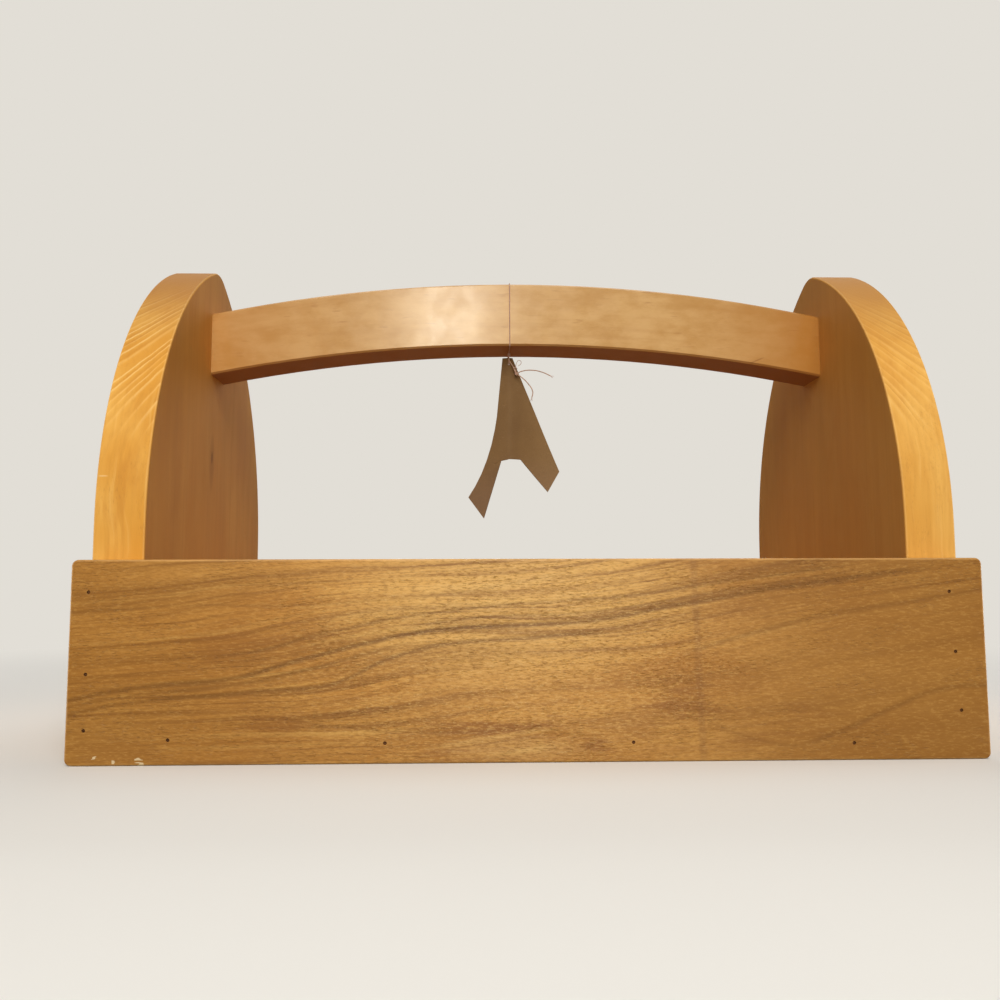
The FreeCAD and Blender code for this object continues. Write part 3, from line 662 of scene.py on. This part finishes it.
def plain_timber(node, grain_axis, heart, wood, seed):
    """A board of the hidden sides or of the drawer, cut from its own place in a log."""
    pale, deep, dark = wood
    coat = WoodCoat(node + "_wood", grain_axis, seed * 1.3)
    bench, fibre = coat.bench, coat.fibre
    rings = bench.group(RINGS, {
        "Place": coat.grain, "Heart Y": heart[0], "Heart Z": heart[1], "Lean Y": heart[2], "Lean Z": heart[3],
        "Ring Width": 0.0048, "Wander": 0.0055, "Seed": seed,
    })
    coat.start(coat.clouds, deep, pale)
    coat.lay(bench.band(fibre["Streak"], 0.42, 0.76), 0.35, dark)
    lines = bench.times(rings["Late"], bench.spread(rings["Ring Tone"], 0.12, 0.80))
    coat.lay(lines, 1.0, dark)
    coat.lay(fibre["Pore"], 0.35, dark)
    # Painted highlight: pale along the board's edges.
    coat.lay(coat.arris(node, 1.2 * MILLIMETRE), 0.35, pale)
    sunk = bench.add(bench.times(fibre["Pore"], 0.5), bench.times(lines, 0.3))
    height = bench.less(bench.times(fibre["Streak"], 0.5), sunk)
    roughness = bench.spread(fibre["Cloud"], 0.40, 0.56)
    return coat.finish(roughness, height, 0.00022, {"Specular IOR Level": 0.32})


def steel(name, tint, stain, roughness):
    """Steel with small stains."""
    coat = Coat(name)
    spots = coat.noise((900.0, 900.0, 900.0), 4.0, 0.6)
    coat.start(coat.bench.band(spots, 0.42, 0.68), tint, stain)
    brushed = coat.noise((300.0, 2600.0, 2600.0))
    return coat.finish(
        coat.bench.spread(spots, roughness, roughness + 0.2), brushed, 0.00003, {"Metallic": 0.9},
    )


def card_paper():
    """Uncoated brown card with pressed fibres, painted light on its right half, and paler and greyer towards
    the bottom.
    """
    coat = Coat("brown_card")
    bench = coat.bench
    x, y, z = bench.parts(coat.place)
    pulp = coat.noise((1500.0, 1500.0, 1500.0), 4.0, 0.65)
    coat.start(bench.band(coat.noise((42.0, 42.0, 30.0), 3.0), 0.32, 0.70), (103, 72, 33), (117, 86, 45))
    # Painted light: the right half lighter, where it faces the light.
    coat.lay(bench.band(x, HITCH.x + 0.002, HITCH.x + 0.022), 0.55, (138, 106, 62))
    # Paler and greyer towards the bottom.
    coat.lay(bench.fade(z, 0.124, 0.160), 0.50, (130, 102, 78))
    coat.lay(bench.band(pulp, 0.45, 0.75), 0.30, (98, 70, 40))
    hairs = coat.noise((420.0, 420.0, 2600.0), 1.0, 0.5, 1.5)
    coat.lay(bench.band(hairs, 0.66, 0.76), 0.3, (158, 126, 86))
    return coat.finish(bench.spread(pulp, 0.72, 0.9), pulp, 0.00008)


def cotton():
    """Pinkish-grey thread."""
    coat = Coat("cotton_thread")
    fuzz = coat.noise((2600.0, 2600.0, 2600.0), 3.0)
    coat.start(coat.bench.band(fuzz, 0.35, 0.70), (172, 132, 108), (204, 168, 146))
    return coat.finish(0.85, fuzz, 0.00010, {"Sheen Weight": 0.3})


def dress(node, made):
    """Give a CAD node its material."""
    slots = frame["nodes"][node].data.materials
    slots.clear()
    slots.append(made)


# Woods, each pale, deep and dark
HONEY = ((206, 152, 82), (178, 122, 60), (126, 80, 38))
GOLD = ((226, 172, 92), (204, 144, 68), (160, 104, 48))
PALE = ((222, 184, 128), (202, 160, 104), (164, 120, 72))

# Boards: node, grain axis, place and lean of the log's heart, wood and seed
BOARDS = [
    ("back_rail", "X", (0.09, -0.02, 0.02, -0.11), HONEY, 11.3),
    ("drawer_front", "X", (0.075, 0.03, 0.03, 0.09), HONEY, 12.9),
    ("bottom_board", "X", (0.02, -0.06, 0.04, 0.02), GOLD, 14.2),
    ("tray_floor", "X", (0.01, -0.09, 0.05, 0.01), HONEY, 15.8),
    ("drawer_box_front", "X", (0.06, -0.01, 0.02, 0.07), PALE, 17.1),
    ("drawer_box_back", "X", (-0.05, 0.0, 0.01, 0.08), PALE, 18.6),
    ("drawer_side_left", "Y", (-0.12, 0.02, 0.02, 0.07), PALE, 19.4),
    ("drawer_side_right", "Y", (0.12, 0.01, 0.03, -0.06), PALE, 21.7),
    ("drawer_bottom", "X", (0.02, -0.07, 0.03, 0.02), PALE, 23.5),
]
NAILS = (
    "front_board_nails", "back_rail_nails", "bottom_board_nails",
    "drawer_corner_nails", "drawer_bottom_nails",
)
SCREWS = ("handle_screws", "drawer_front_screws")
THREADS = ("thread_loop", "tag_hitch", "tag_tie")

dress("front_board", front_board_wood())
dress("end_panel_left", panel_wood("golden_panel_left", -1, 0.85))
dress("end_panel_right", panel_wood("golden_panel_right", 1, 0.40))
dress("handle", handle_wood())
for board in BOARDS:
    dress(board[0], plain_timber(*board))
nail_steel = steel("nail_steel", (96, 62, 36), (58, 36, 20), 0.60)
for node in NAILS:
    dress(node, nail_steel)
screw_steel = steel("screw_steel", (176, 170, 158), (120, 110, 98), 0.30)
for node in SCREWS:
    dress(node, screw_steel)
thread_cotton = cotton()
for node in THREADS:
    dress(node, thread_cotton)


# Thread

THREAD_RADIUS = 0.35 * MILLIMETRE
PLY_PITCH = 1.7 * MILLIMETRE
PLY_STEPS = 9
PLY_RESOLUTION = 2
PLY_RADIUS = 0.56 * THREAD_RADIUS
PLY_OFFSET = 0.46 * THREAD_RADIUS
ROUTE_STEPS = 12
LOOP_BEND = 1.43 * MILLIMETRE
HITCH_TURNS = 3
HITCH_STEPS = 60
HITCH_REACH = 0.62 * MILLIMETRE
HITCH_LIFT = 0.95 * MILLIMETRE
TIE_TOP_DROP = 1.33 * MILLIMETRE
TIE_LENGTH = 4.9 * MILLIMETRE
TIE_GAP = 1.0 * MILLIMETRE
KNOT_SIZE = 0.30 * MILLIMETRE
KNOT_STEPS = 48
FRAY_COUNT = 6
FRAY_LENGTH = 1.6 * MILLIMETRE
FRAY_UNEVEN = 0.5 * MILLIMETRE
FRAY_ROOT = 0.3 * MILLIMETRE
FRAY_SWELL = 0.25 * MILLIMETRE
FRAY_SPREAD = 0.8 * MILLIMETRE
WISP_RADIUS = 0.07 * MILLIMETRE
STRAY_RADIUS = 0.16 * MILLIMETRE

# In mm: the knot from the top of the tie, the stem's bend, and the loose strands from the knot
KNOT_PLACE = (4.3, -1.6, -10.8)
STEM_BEND = (0.3, -0.4, 0.0)
LONG_TAIL = [(0.0, 0.0, 0.0), (4.0, 0.0, 1.6), (10.2, -0.2, 2.0), (16.0, 0.1, 0.8), (20.6, 0.3, -1.3)]
SHORT_TAIL = [(0.0, 0.0, 0.0), (3.4, -0.2, -2.6), (7.2, 0.0, -6.4), (9.8, 0.2, -11.2), (9.2, 0.4, -15.0)]
CURL = [
    (0.0, 0.0, 0.0), (-0.4, -1.0, 2.4), (-0.2, -1.2, 5.6), (1.2, -1.0, 8.2),
    (3.0, -0.8, 7.6), (3.0, -1.0, 5.4), (1.2, -1.2, 4.4),
]
TUFT = [(0.0, 0.0, 0.0), (-1.2, -1.2, 1.2), (-1.6, -1.4, 3.0), (-0.4, -1.2, 4.0), (0.6, -1.0, 2.6)]

CARD_LEAN = math.radians(3.79)


def hung(place):
    """A place given for the card hanging straight, leant as the card's weight leans it."""
    return HITCH + Matrix.Rotation(-CARD_LEAN, 3, "X") @ (Vector(place) - HITCH)


def smooth_route(points):
    """Evenly read places on the smooth curve through the given points."""
    shape = bpy.data.curves.new("route", "CURVE")
    shape.dimensions = "3D"
    shape.resolution_u = ROUTE_STEPS
    spline = shape.splines.new("BEZIER")
    spline.bezier_points.add(len(points) - 1)
    for knot, point in zip(spline.bezier_points, points):
        knot.co = point
        knot.handle_left_type = knot.handle_right_type = "AUTO"
    holder = bpy.data.objects.new("route", shape)
    mesh = bpy.data.meshes.new_from_object(holder)
    places = [vertex.co.copy() for vertex in mesh.vertices]
    bpy.data.objects.remove(holder)
    bpy.data.curves.remove(shape)
    bpy.data.meshes.remove(mesh)
    return places


def strand_shape(name, radius, resolution):
    """An empty round strand."""
    shape = bpy.data.curves.new(name, "CURVE")
    shape.dimensions = "3D"
    shape.bevel_depth = radius
    shape.bevel_resolution = resolution
    return shape


def add_strand(shape, places, closed=False):
    """A smooth strand along the places."""
    spline = shape.splines.new("NURBS")
    spline.points.add(len(places) - 1)
    for point, place in zip(spline.points, places):
        point.co = (*place, 1.0)
    spline.order_u = 3
    spline.use_cyclic_u = closed
    spline.use_endpoint_u = not closed


def thread_piece(name, shape):
    """A finished strand as a piece of thread."""
    piece = bpy.data.objects.new(name, shape)
    bpy.context.scene.collection.objects.link(piece)
    piece.data.materials.append(thread_cotton)
    return piece


def wound_rows(places, closed):
    """Even steps along a route: the place, two ways across it, and the angle of the winding."""
    ring = places + places[:1] if closed else places
    lengths = [0.0]
    for near, far in zip(ring, ring[1:]):
        lengths.append(lengths[-1] + (far - near).length)
    whole = lengths[-1]
    turns = max(1, round(whole / PLY_PITCH))
    count = turns * PLY_STEPS
    rows = []
    segment = 0
    side = (ring[1] - ring[0]).normalized().orthogonal().normalized()
    for step in range(count if closed else count + 1):
        reach = whole * step / count
        while segment < len(ring) - 2 and lengths[segment + 1] < reach:
            segment += 1
        near, far = ring[segment], ring[segment + 1]
        span = max(lengths[segment + 1] - lengths[segment], 1e-9)
        way = (far - near).normalized()
        side = (side - way * side.dot(way)).normalized()
        middle = near.lerp(far, min(1.0, (reach - lengths[segment]) / span))
        rows.append((middle, side.copy(), way.cross(side), 2 * math.pi * turns * reach / whole))
    return rows


def twisted(name, routes):
    """Two plies wound round each other along each route: places, and whether it closes."""
    shape = strand_shape(name, PLY_RADIUS, 2)
    shape.use_fill_caps = True
    for places, closed in routes:
        rows = wound_rows(places, closed)
        for ply in (0.0, math.pi):
            wound = []
            for middle, across, over, angle in rows:
                offset = across * math.cos(angle + ply) + over * math.sin(angle + ply)
                wound.append(middle + offset * PLY_OFFSET)
            add_strand(shape, wound, closed)
    for spline in shape.splines:
        spline.resolution_u = PLY_RESOLUTION
    return thread_piece(name, shape)


def plain_fibres(name, routes, radius):
    """Single fibres along each route."""
    shape = strand_shape(name, radius, 1)
    for places in routes:
        add_strand(shape, places)
    return thread_piece(name, shape)


def frayed(route):
    """The loose fibres at the end of a route, as short routes that spread."""
    end = route[-1]
    way = (end - route[-2]).normalized()
    across = way.orthogonal().normalized()
    over = way.cross(across)
    fibres = []
    for index in range(FRAY_COUNT):
        angle = 2 * math.pi * index / FRAY_COUNT
        out = across * math.cos(angle) + over * math.sin(angle)
        reach = FRAY_LENGTH + FRAY_UNEVEN * math.sin(index * 2.4)
        half_way = end + way * reach * 0.5 + out * FRAY_SWELL
        fibres.append([end - way * FRAY_ROOT, half_way, end + way * reach + out * FRAY_SPREAD])
    return fibres


def make_loop():
    """The thread round the handle, twisted of two plies."""
    low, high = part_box("thread_loop")
    x = (low[0] + high[0]) / 2
    near, far = low[1] + THREAD_RADIUS, high[1] - THREAD_RADIUS
    under, top = low[2] + THREAD_RADIUS, high[2] - THREAD_RADIUS
    places = []
    for y, z, start in ((far, top, 0), (near, top, 90), (near, under, 180), (far, under, 270)):
        middle_y = y - LOOP_BEND if y > 0 else y + LOOP_BEND
        middle_z = z - LOOP_BEND if z == top else z + LOOP_BEND
        for turn in range(0, 91, 15):
            angle = math.radians(start + turn)
            place = (x, middle_y + LOOP_BEND * math.cos(angle), middle_z + LOOP_BEND * math.sin(angle))
            places.append(Vector(place))
    loop = twisted("twisted_loop", [(places, True)])
    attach(loop, "tote")
    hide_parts("thread_loop")


def make_hitch():
    """Three close turns of thread where the tie hangs from the loop."""
    places = []
    for step in range(HITCH_STEPS + 1):
        share = step / HITCH_STEPS
        angle = 2 * math.pi * HITCH_TURNS * share
        around = Vector((HITCH_REACH * math.cos(angle), HITCH_REACH * math.sin(angle), 0.0))
        places.append(HITCH + around + Vector((0.0, 0.0, HITCH_LIFT * (1 - 2 * share))))
    hitch = twisted("wrapped_hitch", [(places, False)])
    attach(hitch, "hitch")
    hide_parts("tag_hitch")


def tie_link(top, low):
    """The long closed link that passes through the card's hole."""
    link = []
    for z, start in ((top - THREAD_RADIUS - TIE_GAP, 0), (low + TIE_GAP, 180)):
        for turn in range(0, 181, 20):
            angle = math.radians(start + turn)
            link.append(hung((HITCH.x, TIE_GAP * math.cos(angle), z + TIE_GAP * math.sin(angle))))
    return link


def tie_knot(knot):
    """The crossing turns of the knot, a trefoil."""
    places = []
    for step in range(KNOT_STEPS):
        angle = 2 * math.pi * step / KNOT_STEPS
        crossing = Vector((
            math.sin(angle) + 2 * math.sin(2 * angle),
            -math.sin(3 * angle) * 1.1,
            math.cos(angle) - 2 * math.cos(2 * angle),
        ))
        places.append(hung(knot + crossing * KNOT_SIZE))
    return places


def from_knot(knot, offsets):
    """A route as it hangs, from its offsets to the knot."""
    return [hung(knot + Vector(in_metres(offset))) for offset in offsets]


def make_tie():
    """The looped tie through the card's hole, its knot beside the neck and its two frayed ends."""
    top = HITCH.z - TIE_TOP_DROP
    low = top - TIE_LENGTH
    knot = Vector((HITCH.x, 0.0, top)) + Vector(in_metres(KNOT_PLACE))
    stem_start = Vector((HITCH.x, -TIE_GAP, (top + low) / 2))
    stem_middle = stem_start.lerp(knot, 0.5) + Vector(in_metres(STEM_BEND))
    stem = smooth_route([hung(place) for place in (stem_start, stem_middle, knot)])
    long_tail = smooth_route(from_knot(knot, LONG_TAIL))
    short_tail = smooth_route(from_knot(knot, SHORT_TAIL))
    tie = twisted("twisted_tie", [
        (tie_link(top, low), True),
        (stem, False),
        (tie_knot(knot), True),
        (long_tail, False),
        (short_tail, False),
    ])
    wisps = plain_fibres("frayed_ends", frayed(long_tail) + frayed(short_tail), WISP_RADIUS)
    stray = plain_fibres("stray_fibre", [from_knot(knot, CURL), from_knot(knot, TUFT)], STRAY_RADIUS)
    for piece in (tie, wisps, stray):
        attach(piece, "tag")
    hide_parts("tag_tie")


# Card

CARD_TIP_DROP = 1.96 * MILLIMETRE
CARD_SLOPE = 0.34
CARD_THICKNESS = 0.5 * MILLIMETRE
HOLE_DROP = 3.96 * MILLIMETRE
HOLE_RADIUS = 0.5 * MILLIMETRE
SEW_REACH = 0.05 * MILLIMETRE
# In mm: its soft fold, the curl of its left half downwards and of its right half outwards, and its wave
FOLD_SOFTNESS = 1.2
LEFT_CURL = 1.6
LEFT_CURL_FROM = 58.0
LEFT_CURL_RUN = 38.0
RIGHT_CURL = 2.2
RIGHT_CURL_FROM = 12.0
RIGHT_CURL_RUN = 18.0
CARD_WAVE = 0.25

# Its outlines: shares of the run down a half, each with a reach from the fold and a drop in mm
LEFT_CURVE = [
    (-7.3, 36.0), (-8.6, 44.0), (-10.6, 53.0), (-13.3, 61.9), (-16.6, 70.2), (-20.4, 77.6), (-24.4, 83.8),
]
LEFT_OUTER = [(0.0, (-3.8, 0.0))]
LEFT_OUTER += [(0.36 + 0.08 * index, place) for index, place in enumerate(LEFT_CURVE)]
LEFT_OUTER += [(1.0, (-15.2, 96.8))]
LEFT_INNER = [(0.0, (0.0, 0.0)), (0.62, (0.0, 62.2)), (0.66, (-4.6, 62.2)), (1.0, (-15.2, 96.8))]
RIGHT_OUTER = [(0.0, (2.1, 0.0)), (0.80, (30.1, 68.4)), (1.0, (22.9, 81.0))]
RIGHT_INNER = [(0.0, (0.0, 0.0)), (0.62, (0.0, 62.2)), (0.66, (6.6, 62.2)), (1.0, (22.9, 81.0))]


def outline_at(stops, along):
    """A place on an outline given as shares of its run with their places."""
    for (start, near), (stop, far) in zip(stops, stops[1:]):
        if along <= stop + 1e-6:
            share = (along - start) / (stop - start)
            return Vector(near).lerp(Vector(far), min(1.0, max(0.0, share)))
    return Vector(stops[-1][1])


def card_place(reach, drop):
    """Where a point of the folded card hangs; its corners curl a little."""
    fold = math.sqrt(reach ** 2 + FOLD_SOFTNESS ** 2) - FOLD_SOFTNESS
    depth = fold * CARD_SLOPE
    if reach < 0:
        depth += LEFT_CURL * max(0.0, (drop - LEFT_CURL_FROM) / LEFT_CURL_RUN) ** 2
    depth -= RIGHT_CURL * max(0.0, (reach - RIGHT_CURL_FROM) / RIGHT_CURL_RUN) ** 2
    depth += CARD_WAVE * math.sin(drop * 0.11 + reach * 0.09)
    z = HITCH.z - CARD_TIP_DROP - drop * MILLIMETRE
    return hung((HITCH.x + reach * MILLIMETRE, depth * MILLIMETRE, z))


def card_strip(name, outer, inner, rows, columns):
    """Half of the card: a grid laid between its outer and its inner outline."""
    bpy.ops.object.select_all(action="DESELECT")
    bpy.ops.mesh.primitive_grid_add(x_subdivisions=columns, y_subdivisions=rows, size=1.0, location=(0, 0, 0))
    strip = bpy.context.object
    strip.name = name
    for vertex in strip.data.vertices:
        across = vertex.co.x + 0.5
        along = 0.5 - vertex.co.y
        reach, drop = outline_at(outer, along).lerp(outline_at(inner, along), across)
        vertex.co = card_place(reach, drop)
    return strip


def joined_halves(left, right):
    """Both halves as one sheet, sewn along the fold."""
    bpy.ops.object.select_all(action="DESELECT")
    left.select_set(True)
    right.select_set(True)
    bpy.context.view_layer.objects.active = left
    bpy.ops.object.join()
    bpy.ops.object.mode_set(mode="EDIT")
    bpy.ops.mesh.select_all(action="SELECT")
    bpy.ops.mesh.remove_doubles(threshold=SEW_REACH)
    bpy.ops.mesh.normals_make_consistent(inside=False)
    bpy.ops.object.mode_set(mode="OBJECT")
    return bpy.context.object


def thicken_and_punch(card):
    """Give the sheet its thickness and its round hole."""
    thick = card.modifiers.new("thickness", "SOLIDIFY")
    thick.thickness = CARD_THICKNESS
    thick.offset = 0.0
    bpy.ops.object.select_all(action="DESELECT")
    bpy.ops.mesh.primitive_cylinder_add(
        vertices=32, radius=HOLE_RADIUS, depth=6 * MILLIMETRE,
        location=hung((HITCH.x, 0.0, HITCH.z - CARD_TIP_DROP - HOLE_DROP)),
        rotation=(math.radians(90) - CARD_LEAN, 0.0, 0.0),
    )
    punch = bpy.context.object
    hole = card.modifiers.new("hole", "BOOLEAN")
    hole.object = punch
    hole.solver = "EXACT"
    bpy.context.view_layer.objects.active = card
    bpy.ops.object.modifier_apply(modifier="thickness")
    bpy.ops.object.modifier_apply(modifier="hole")
    bpy.data.objects.remove(punch)


def make_card():
    """The folded card, with soft curls, a punched hole and real thickness."""
    left = card_strip("folded_card", LEFT_OUTER, LEFT_INNER, rows=50, columns=10)
    right = card_strip("card_half", RIGHT_OUTER, RIGHT_INNER, rows=50, columns=14)
    card = joined_halves(left, right)
    thicken_and_punch(card)
    bpy.ops.object.select_all(action="DESELECT")
    card.select_set(True)
    bpy.ops.object.shade_smooth_by_angle(angle=math.radians(40))
    card.data.materials.clear()
    card.data.materials.append(card_paper())
    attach(card, "tag")
    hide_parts("tag_card")


make_loop()
make_hitch()
make_tie()
make_card()


# Studio

BACKDROP = srgb(226, 222, 214)
FLOOR = srgb(234, 232, 228)
BOUNCE = srgb(104, 100, 94)
SOFT_WHITE = (1.0, 0.985, 0.96)
PALE_GOLD = (1.0, 0.96, 0.80)

# The camera fitted to the photograph: its place, the ways it faces, and its lens and sensor in mm
CAMERA_PLACE = (-0.0262, -0.5548, 0.0752)
CAMERA_RIGHT = Vector((0.99961, -0.02776, -0.00319))
CAMERA_AHEAD = Vector((0.02793, 0.99505, 0.09542))
CAMERA_UP = Vector((0.00052, -0.09547, 0.99543))
CAMERA_LENS = 33.76
SENSOR_WIDTH = 36.0


def shown_to(bench):
    """1 where the camera, a reflection or a clear piece looks, 0 for the light that bounces."""
    path = bench.node("ShaderNodeLightPath").outputs
    clear = bench.math("MAXIMUM", path["Is Glossy Ray"], path["Is Transmission Ray"])
    return bench.math("MAXIMUM", path["Is Camera Ray"], clear)


def make_floor():
    """A pale disc that fades into the backdrop colour."""
    bpy.ops.object.select_all(action="DESELECT")
    bpy.ops.mesh.primitive_circle_add(vertices=96, radius=6.0, fill_type="NGON", location=(0, 0, 0))
    floor = bpy.context.object
    floor.name = "pale_floor"
    made, bench = material("pale_floor")
    place = bench.coordinates()
    reach = bench.node("ShaderNodeVectorMath", {0: place}, operation="LENGTH").outputs["Value"]
    far = bench.band(reach, 0.28, 0.95)
    seen = bench.node("ShaderNodeLightPath").outputs["Is Camera Ray"]
    matt = bench.node("ShaderNodeBsdfDiffuse", {"Color": bench.paint(shown_to(bench), BOUNCE, FLOOR)})
    glow = bench.node("ShaderNodeEmission", {"Color": BACKDROP, "Strength": 1.0})
    fading = bench.times(far, seen)
    mixed = bench.node("ShaderNodeMixShader", {0: fading, 1: matt.outputs[0], 2: glow.outputs[0]})
    bench.node("ShaderNodeOutputMaterial", {"Surface": mixed.outputs[0]})
    floor.data.materials.append(made)


def make_world():
    """Even soft light, with the plain backdrop where it is seen or reflected."""
    world = bpy.data.worlds.new("studio_world")
    bpy.context.scene.world = world
    world.use_nodes = True
    world.node_tree.nodes.clear()
    bench = Bench(world.node_tree)
    soft = bench.node("ShaderNodeBackground", {"Color": (*SOFT_WHITE, 1.0), "Strength": 0.10})
    seen = bench.node("ShaderNodeBackground", {"Color": BACKDROP, "Strength": 1.0})
    mixed = bench.node("ShaderNodeMixShader", {0: shown_to(bench), 1: soft.outputs[0], 2: seen.outputs[0]})
    bench.node("ShaderNodeOutputWorld", {"Surface": mixed.outputs[0]})


def lamp(name, place, aim, size, level, tint=SOFT_WHITE):
    """A soft box that alone lights a white surface facing it to the given level."""
    light = bpy.data.lights.new(name, "AREA")
    light.shape = "RECTANGLE"
    light.size, light.size_y = size
    way = Vector(aim) - Vector(place)
    light.energy = level * math.pi ** 2 * way.length_squared
    light.color = tint
    made = bpy.data.objects.new(name, light)
    bpy.context.scene.collection.objects.link(made)
    made.location = place
    made.rotation_euler = way.to_track_quat("-Z", "Y").to_euler()


def make_camera():
    """The photograph's view: close, low and tilted up a little."""
    data = bpy.data.cameras.new("photo_camera")
    data.sensor_width = SENSOR_WIDTH
    data.lens = CAMERA_LENS
    data.clip_start = 0.01
    camera = bpy.data.objects.new("photo_camera", data)
    bpy.context.scene.collection.objects.link(camera)
    turn = Matrix((CAMERA_RIGHT, CAMERA_UP, -CAMERA_AHEAD)).transposed().to_4x4()
    camera.matrix_world = Matrix.Translation(CAMERA_PLACE) @ turn
    bpy.context.scene.camera = camera


make_camera()
make_floor()
make_world()
lamp("handle_strip", (-0.075, -1.30, 0.62), (-0.04, 0.0, 0.23), (0.08, 0.28), 0.23, PALE_GOLD)
lamp("board_strip", (0.085, -1.30, 0.12), (0.0, -0.14, 0.07), (0.14, 0.32), 0.28)
lamp("front_box", (0.05, -1.30, 1.25), (0.0, -0.05, 0.10), (0.80, 0.80), 0.60)
lamp("top_box", (0.0, 0.25, 1.60), (0.0, 0.0, 0.05), (1.00, 1.00), 0.16)
lamp("rear_box", (0.20, 1.60, 0.80), (0.0, 0.1, 0.10), (0.90, 0.90), 0.44)
lamp("left_box", (-1.30, 0.02, 0.12), (-0.2, 0.0, 0.12), (0.30, 0.24), 0.46)
lamp("right_box", (1.30, 0.02, 0.12), (0.2, 0.0, 0.12), (0.30, 0.24), 0.46)

bpy.context.scene.view_settings.view_transform = "Standard"
